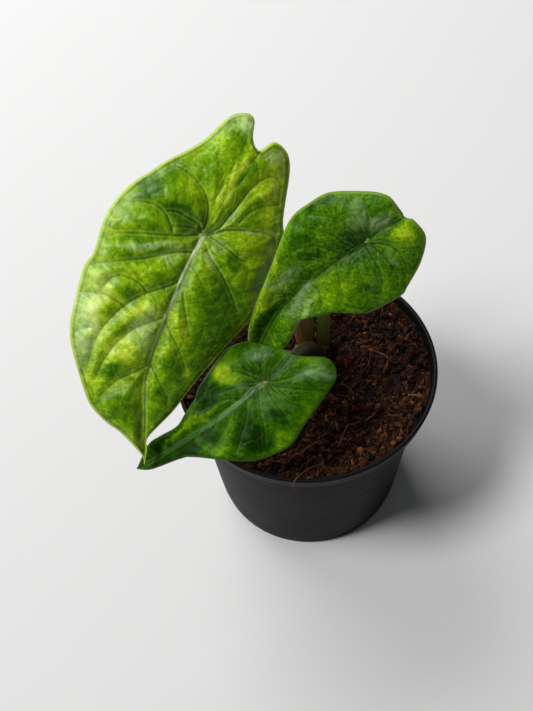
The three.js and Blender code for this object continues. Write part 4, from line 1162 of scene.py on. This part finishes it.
def long_fibres():
    rng = np.random.default_rng(12)
    shapes = []
    for places in FIBRES:
        steps = 12 * (len(places) - 1)
        x, y = even(places, steps).T
        high = np.convolve(np.pad(crumbly(x, y), 3, mode="edge"), np.ones(7) / 7, "valid") + 0.9
        high[:2] -= (1.8, 0.9)
        high[-2:] -= (0.9, 1.8)
        path = vectors(x, y, high)
        path[1:-1] += rng.normal(0, 0.12, (steps - 2, 3))
        radii = 0.3 * np.sqrt(1 - np.linspace(-0.9, 0.9, steps) ** 4)
        shapes.append((*closed_tube(tube(path, radii, 6)), rng.normal(1, 0.2)))
    path = even(OVERHANGING_FIBRE, 40)
    path[1:-1] += rng.normal(0, 0.06, (38, 3))
    return [*shapes, (*closed_tube(tube(path, np.full(40, 0.19), 6)), 1.1)]


def short_fibres(count):
    """Loose coir fibres that curl over the crumbs."""
    rng = np.random.default_rng(73)
    shapes = []
    t = np.linspace(-0.5, 0.5, 9)
    while len(shapes) < count:
        angle, radius = rng.uniform(0, TURN), 46 * rng.uniform() ** 0.5
        long = 2 + 9 * rng.uniform() ** 2.5
        heading, bend = rng.uniform(0, TURN), rng.normal(0, 1)
        turn = heading + bend * t
        x = radius * math.cos(angle) + long * np.cumsum(np.cos(turn)) / 9
        y = radius * math.sin(angle) + long * np.cumsum(np.sin(turn)) / 9
        if np.hypot(x, y).max() > 47 or not clear_of_stalks(x, y, 0.3).all():
            continue
        arch = rng.uniform(0.1, 1.1) * (1 - (2 * t) ** 2)
        tilt = rng.normal(0, 0.35) * t
        radii = rng.uniform(0.06, 0.15) * np.sqrt(1.02 - (2 * t) ** 2 * 0.75)
        path = vectors(x, y, crumbly(x, y) + 0.35 + arch + tilt * long * 0.5)
        shapes.append((*closed_tube(tube(path, radii, 4)), rng.normal(0.55, 0.45)))
    return shapes


crumbs("coir_crumbs", int(2300 * COUNT_SHARE), True, 0.5, 1.5, 71, 0.2)
crumbs("coir_dust", int(6600 * COUNT_SHARE), False, 0.25, 0.7, 72, 0.4)
husk_chips()
scatter("coir_fibres", long_fibres() + short_fibres(int(1700 * COUNT_SHARE)))

# pot
# the pot's profile: groups of points, each measured from a place given as (radius, height)
POT_PROFILE = [
    ((BASE_RADIUS, 0), [
        (-0.9, 0), (-0.25, 0.2), (0, 0.9), (0.45, 4.4), (0.55, 4.9), (0.9, 5.3), (1, 6),
        (2.2, 16), (3.5, 28), (4.8, 40), (6.1, 52),
    ]),
    ((STEP_RADIUS, STEP_HEIGHT), [(-0.9, -6.6), (-0.1, -0.5), (0.25, -0.1), (0.8, 0)]),
    ((RIM_RADIUS, STEP_HEIGHT), [(-1.7, 0.15), (-1.25, 0.35), (-1.08, 0.8)]),
    ((RIM_RADIUS, POT_HEIGHT), [
        (-0.7, -3.6), (-0.35, -1.9), (-0.08, -1.2), (0, -0.8), (-0.1, -0.35), (-0.4, -0.05),
        (-0.8, 0),
    ]),
    ((RIM_RADIUS - LIP_THICKNESS, POT_HEIGHT), [
        (0.3, -0.05), (0, -0.4), (-0.5, -2.6), (-0.9, -4.7),
    ]),
    ((STEP_RADIUS - WALL, STEP_HEIGHT), [(0, 1.1), (-2.2, -20.6)]),
    ((BASE_RADIUS - WALL, FLOOR_THICKNESS), [(0.4, 0)]),
]


def disc_with_holes(radius, sides, height):
    """A flat disc with the drain holes cut out, as triangles."""
    centres = DRAIN_RING_RADIUS * np.exp(1j * TURN * (np.arange(DRAIN_COUNT) + 0.5) / DRAIN_COUNT)
    hole = DRAIN_RADIUS * np.exp(1j * circle(DRAIN_SIDES))
    edges, points = [], np.zeros(0)
    for loop in (radius * np.exp(1j * circle(sides)), *(centre + hole for centre in centres)):
        k = np.arange(len(loop))
        edges += (len(points) + vectors(k, (k + 1) % len(loop))).tolist()
        points = np.r_[points, loop]
    made = delaunay_2d_cdt([Vector((p.real, p.imag)) for p in points], edges, [], 0, 1e-6)
    points = np.array([complex(*p) for p in made[0]])
    faces = np.array([face for face in made[2] if len(face) == 3])
    middle = points[faces].mean(1)
    in_hole = (abs(middle[:, None] - centres) < DRAIN_RADIUS * 0.995).any(1)
    return vectors(points.real, points.imag, height), faces[(abs(middle) < radius) & ~in_hole]


def pot_mesh(sides=176):
    profile = [(r + dr, z + dz) for (r, z), group in POT_PROFILE for dr, dz in group]
    r, z = np.array(profile)[:, :, None].transpose(1, 0, 2)
    points = vectors(r * np.cos(circle(sides)), r * np.sin(circle(sides)), z).reshape(-1, 3)
    quads, triangles, walls = [grid_faces(len(profile), sides, True)], [], []
    for radius, height in (profile[0], profile[-1]):
        disc, faces = disc_with_holes(radius, sides, height)
        triangles.append(faces + len(points))
        walls.append(len(points) + sides)
        points = np.vstack([points, disc])
    for start in range(0, DRAIN_COUNT * DRAIN_SIDES, DRAIN_SIDES):
        low, high = (wall + start + np.arange(DRAIN_SIDES) for wall in walls)
        quads.append(vectors(low, high, np.roll(high, -1), np.roll(low, -1)))
    faces = [np.vstack(quads), np.vstack(triangles)]
    piece = mesh_piece("nursery_pot", points, faces, dict(place=points))
    work = bmesh.new()
    work.from_mesh(piece.data)
    bmesh.ops.remove_doubles(work, verts=work.verts, dist=1e-6)
    bmesh.ops.recalc_face_normals(work, faces=work.faces)
    work.to_mesh(piece.data)
    work.free()
    return piece


def pot_material():
    s = Shader("black_plastic")
    (place,) = s.attributes("place", output="Vector")
    fine = s.noise(place, 3, 3, 0.6)
    wide = s.noise(s.stretched(place, 0.05, 0.05, 0.25), 1, 3, 0.6)
    dust = s.span(s.noise(place, 0.35, 5, 0.75), 0.55, 0.8, 0, 0.2)
    return s.finish(
        colour=s.paint((0.0035, 0.0035, 0.0042), (0.022, 0.018, 0.016), dust), specular=0.08,
        roughness=s.add(0.5, s.centred(wide, 0.18), s.centred(fine, 0.1)),
        normal=s.bump(s.add(fine, s.times(wide, 1.5)), 0.05, 0.6),
    )


dress(pot_mesh(), pot_material(), "black_plastic", "pot")

# stage
floor_mesh = bpy.data.meshes.new("floor")
corners = [(-30, -30, 0), (30, -30, 0), (30, 30, 0), (-30, 30, 0)]
floor_mesh.from_pydata(corners, [], [(0, 1, 2, 3)])
paper = Shader("floor").finish(colour=(0.46, 0.46, 0.455), roughness=0.85, specular=0.1)
floor_mesh.materials.append(paper)
add_object("floor", floor_mesh)


def light(name, kind, power, place, aim, **settings):
    data = bpy.data.lights.new(name, kind)
    data.energy = power
    for key, value in settings.items():
        setattr(data, key, value)
    lamp = add_object(name, data)
    lamp.location = place
    lamp.rotation_mode = "QUATERNION"
    lamp.rotation_quaternion = (Vector(aim) - Vector(place)).to_track_quat("-Z", "Y")


light("softbox_key", "AREA", 11, (-0.42, 0.62, 0.80), (-0.01, 0, 0.11),
      shape="RECTANGLE", size=0.75, size_y=0.55)
light("softbox_left", "AREA", 2, (-0.95, -0.1, 0.55), (0, 0, 0.1),
      shape="RECTANGLE", size=0.5, size_y=0.5)
light("studio_sun", "SUN", 3.3, (0, 0, 0), (0.52, 0.16, -0.84), angle=math.radians(18))

world = bpy.data.worlds.new("studio")
world.use_nodes = True
sky = world.node_tree
direction = sky.nodes.new("ShaderNodeTexCoord")
axes = sky.nodes.new("ShaderNodeSeparateXYZ")
glow = sky.nodes.new("ShaderNodeValToRGB")
sky.links.new(direction.outputs["Generated"], axes.inputs[0])
sky.links.new(axes.outputs["Z"], glow.inputs[0])
sky.links.new(glow.outputs[0], sky.nodes["Background"].inputs[0])
horizon, zenith = glow.color_ramp.elements
horizon.position, horizon.color = 0.12, (0.30, 0.30, 0.30, 1)
zenith.position, zenith.color = 0.45, (0.10, 0.105, 0.11, 1)
bpy.context.scene.world = world
bpy.context.scene.view_settings.view_transform = "Standard"

# camera
CAMERA_PLACE = Vector((-15.0, -290.19, 518.45)) * MM
CAMERA_RIGHT = Vector((0.9981, -0.0507, -0.034)).normalized()
CAMERA_UP = Vector((0.061, 0.8287, 0.5564))
camera_data = bpy.data.cameras.new("camera")
camera_data.lens = 70
camera_data.sensor_width = 36
camera = add_object("camera", camera_data)
upward = (CAMERA_UP - CAMERA_RIGHT * CAMERA_UP.dot(CAMERA_RIGHT)).normalized()
turn = Matrix((CAMERA_RIGHT, upward, CAMERA_RIGHT.cross(upward))).transposed()
camera.matrix_world = Matrix.Translation(CAMERA_PLACE) @ turn.to_4x4()
bpy.context.scene.camera = camera
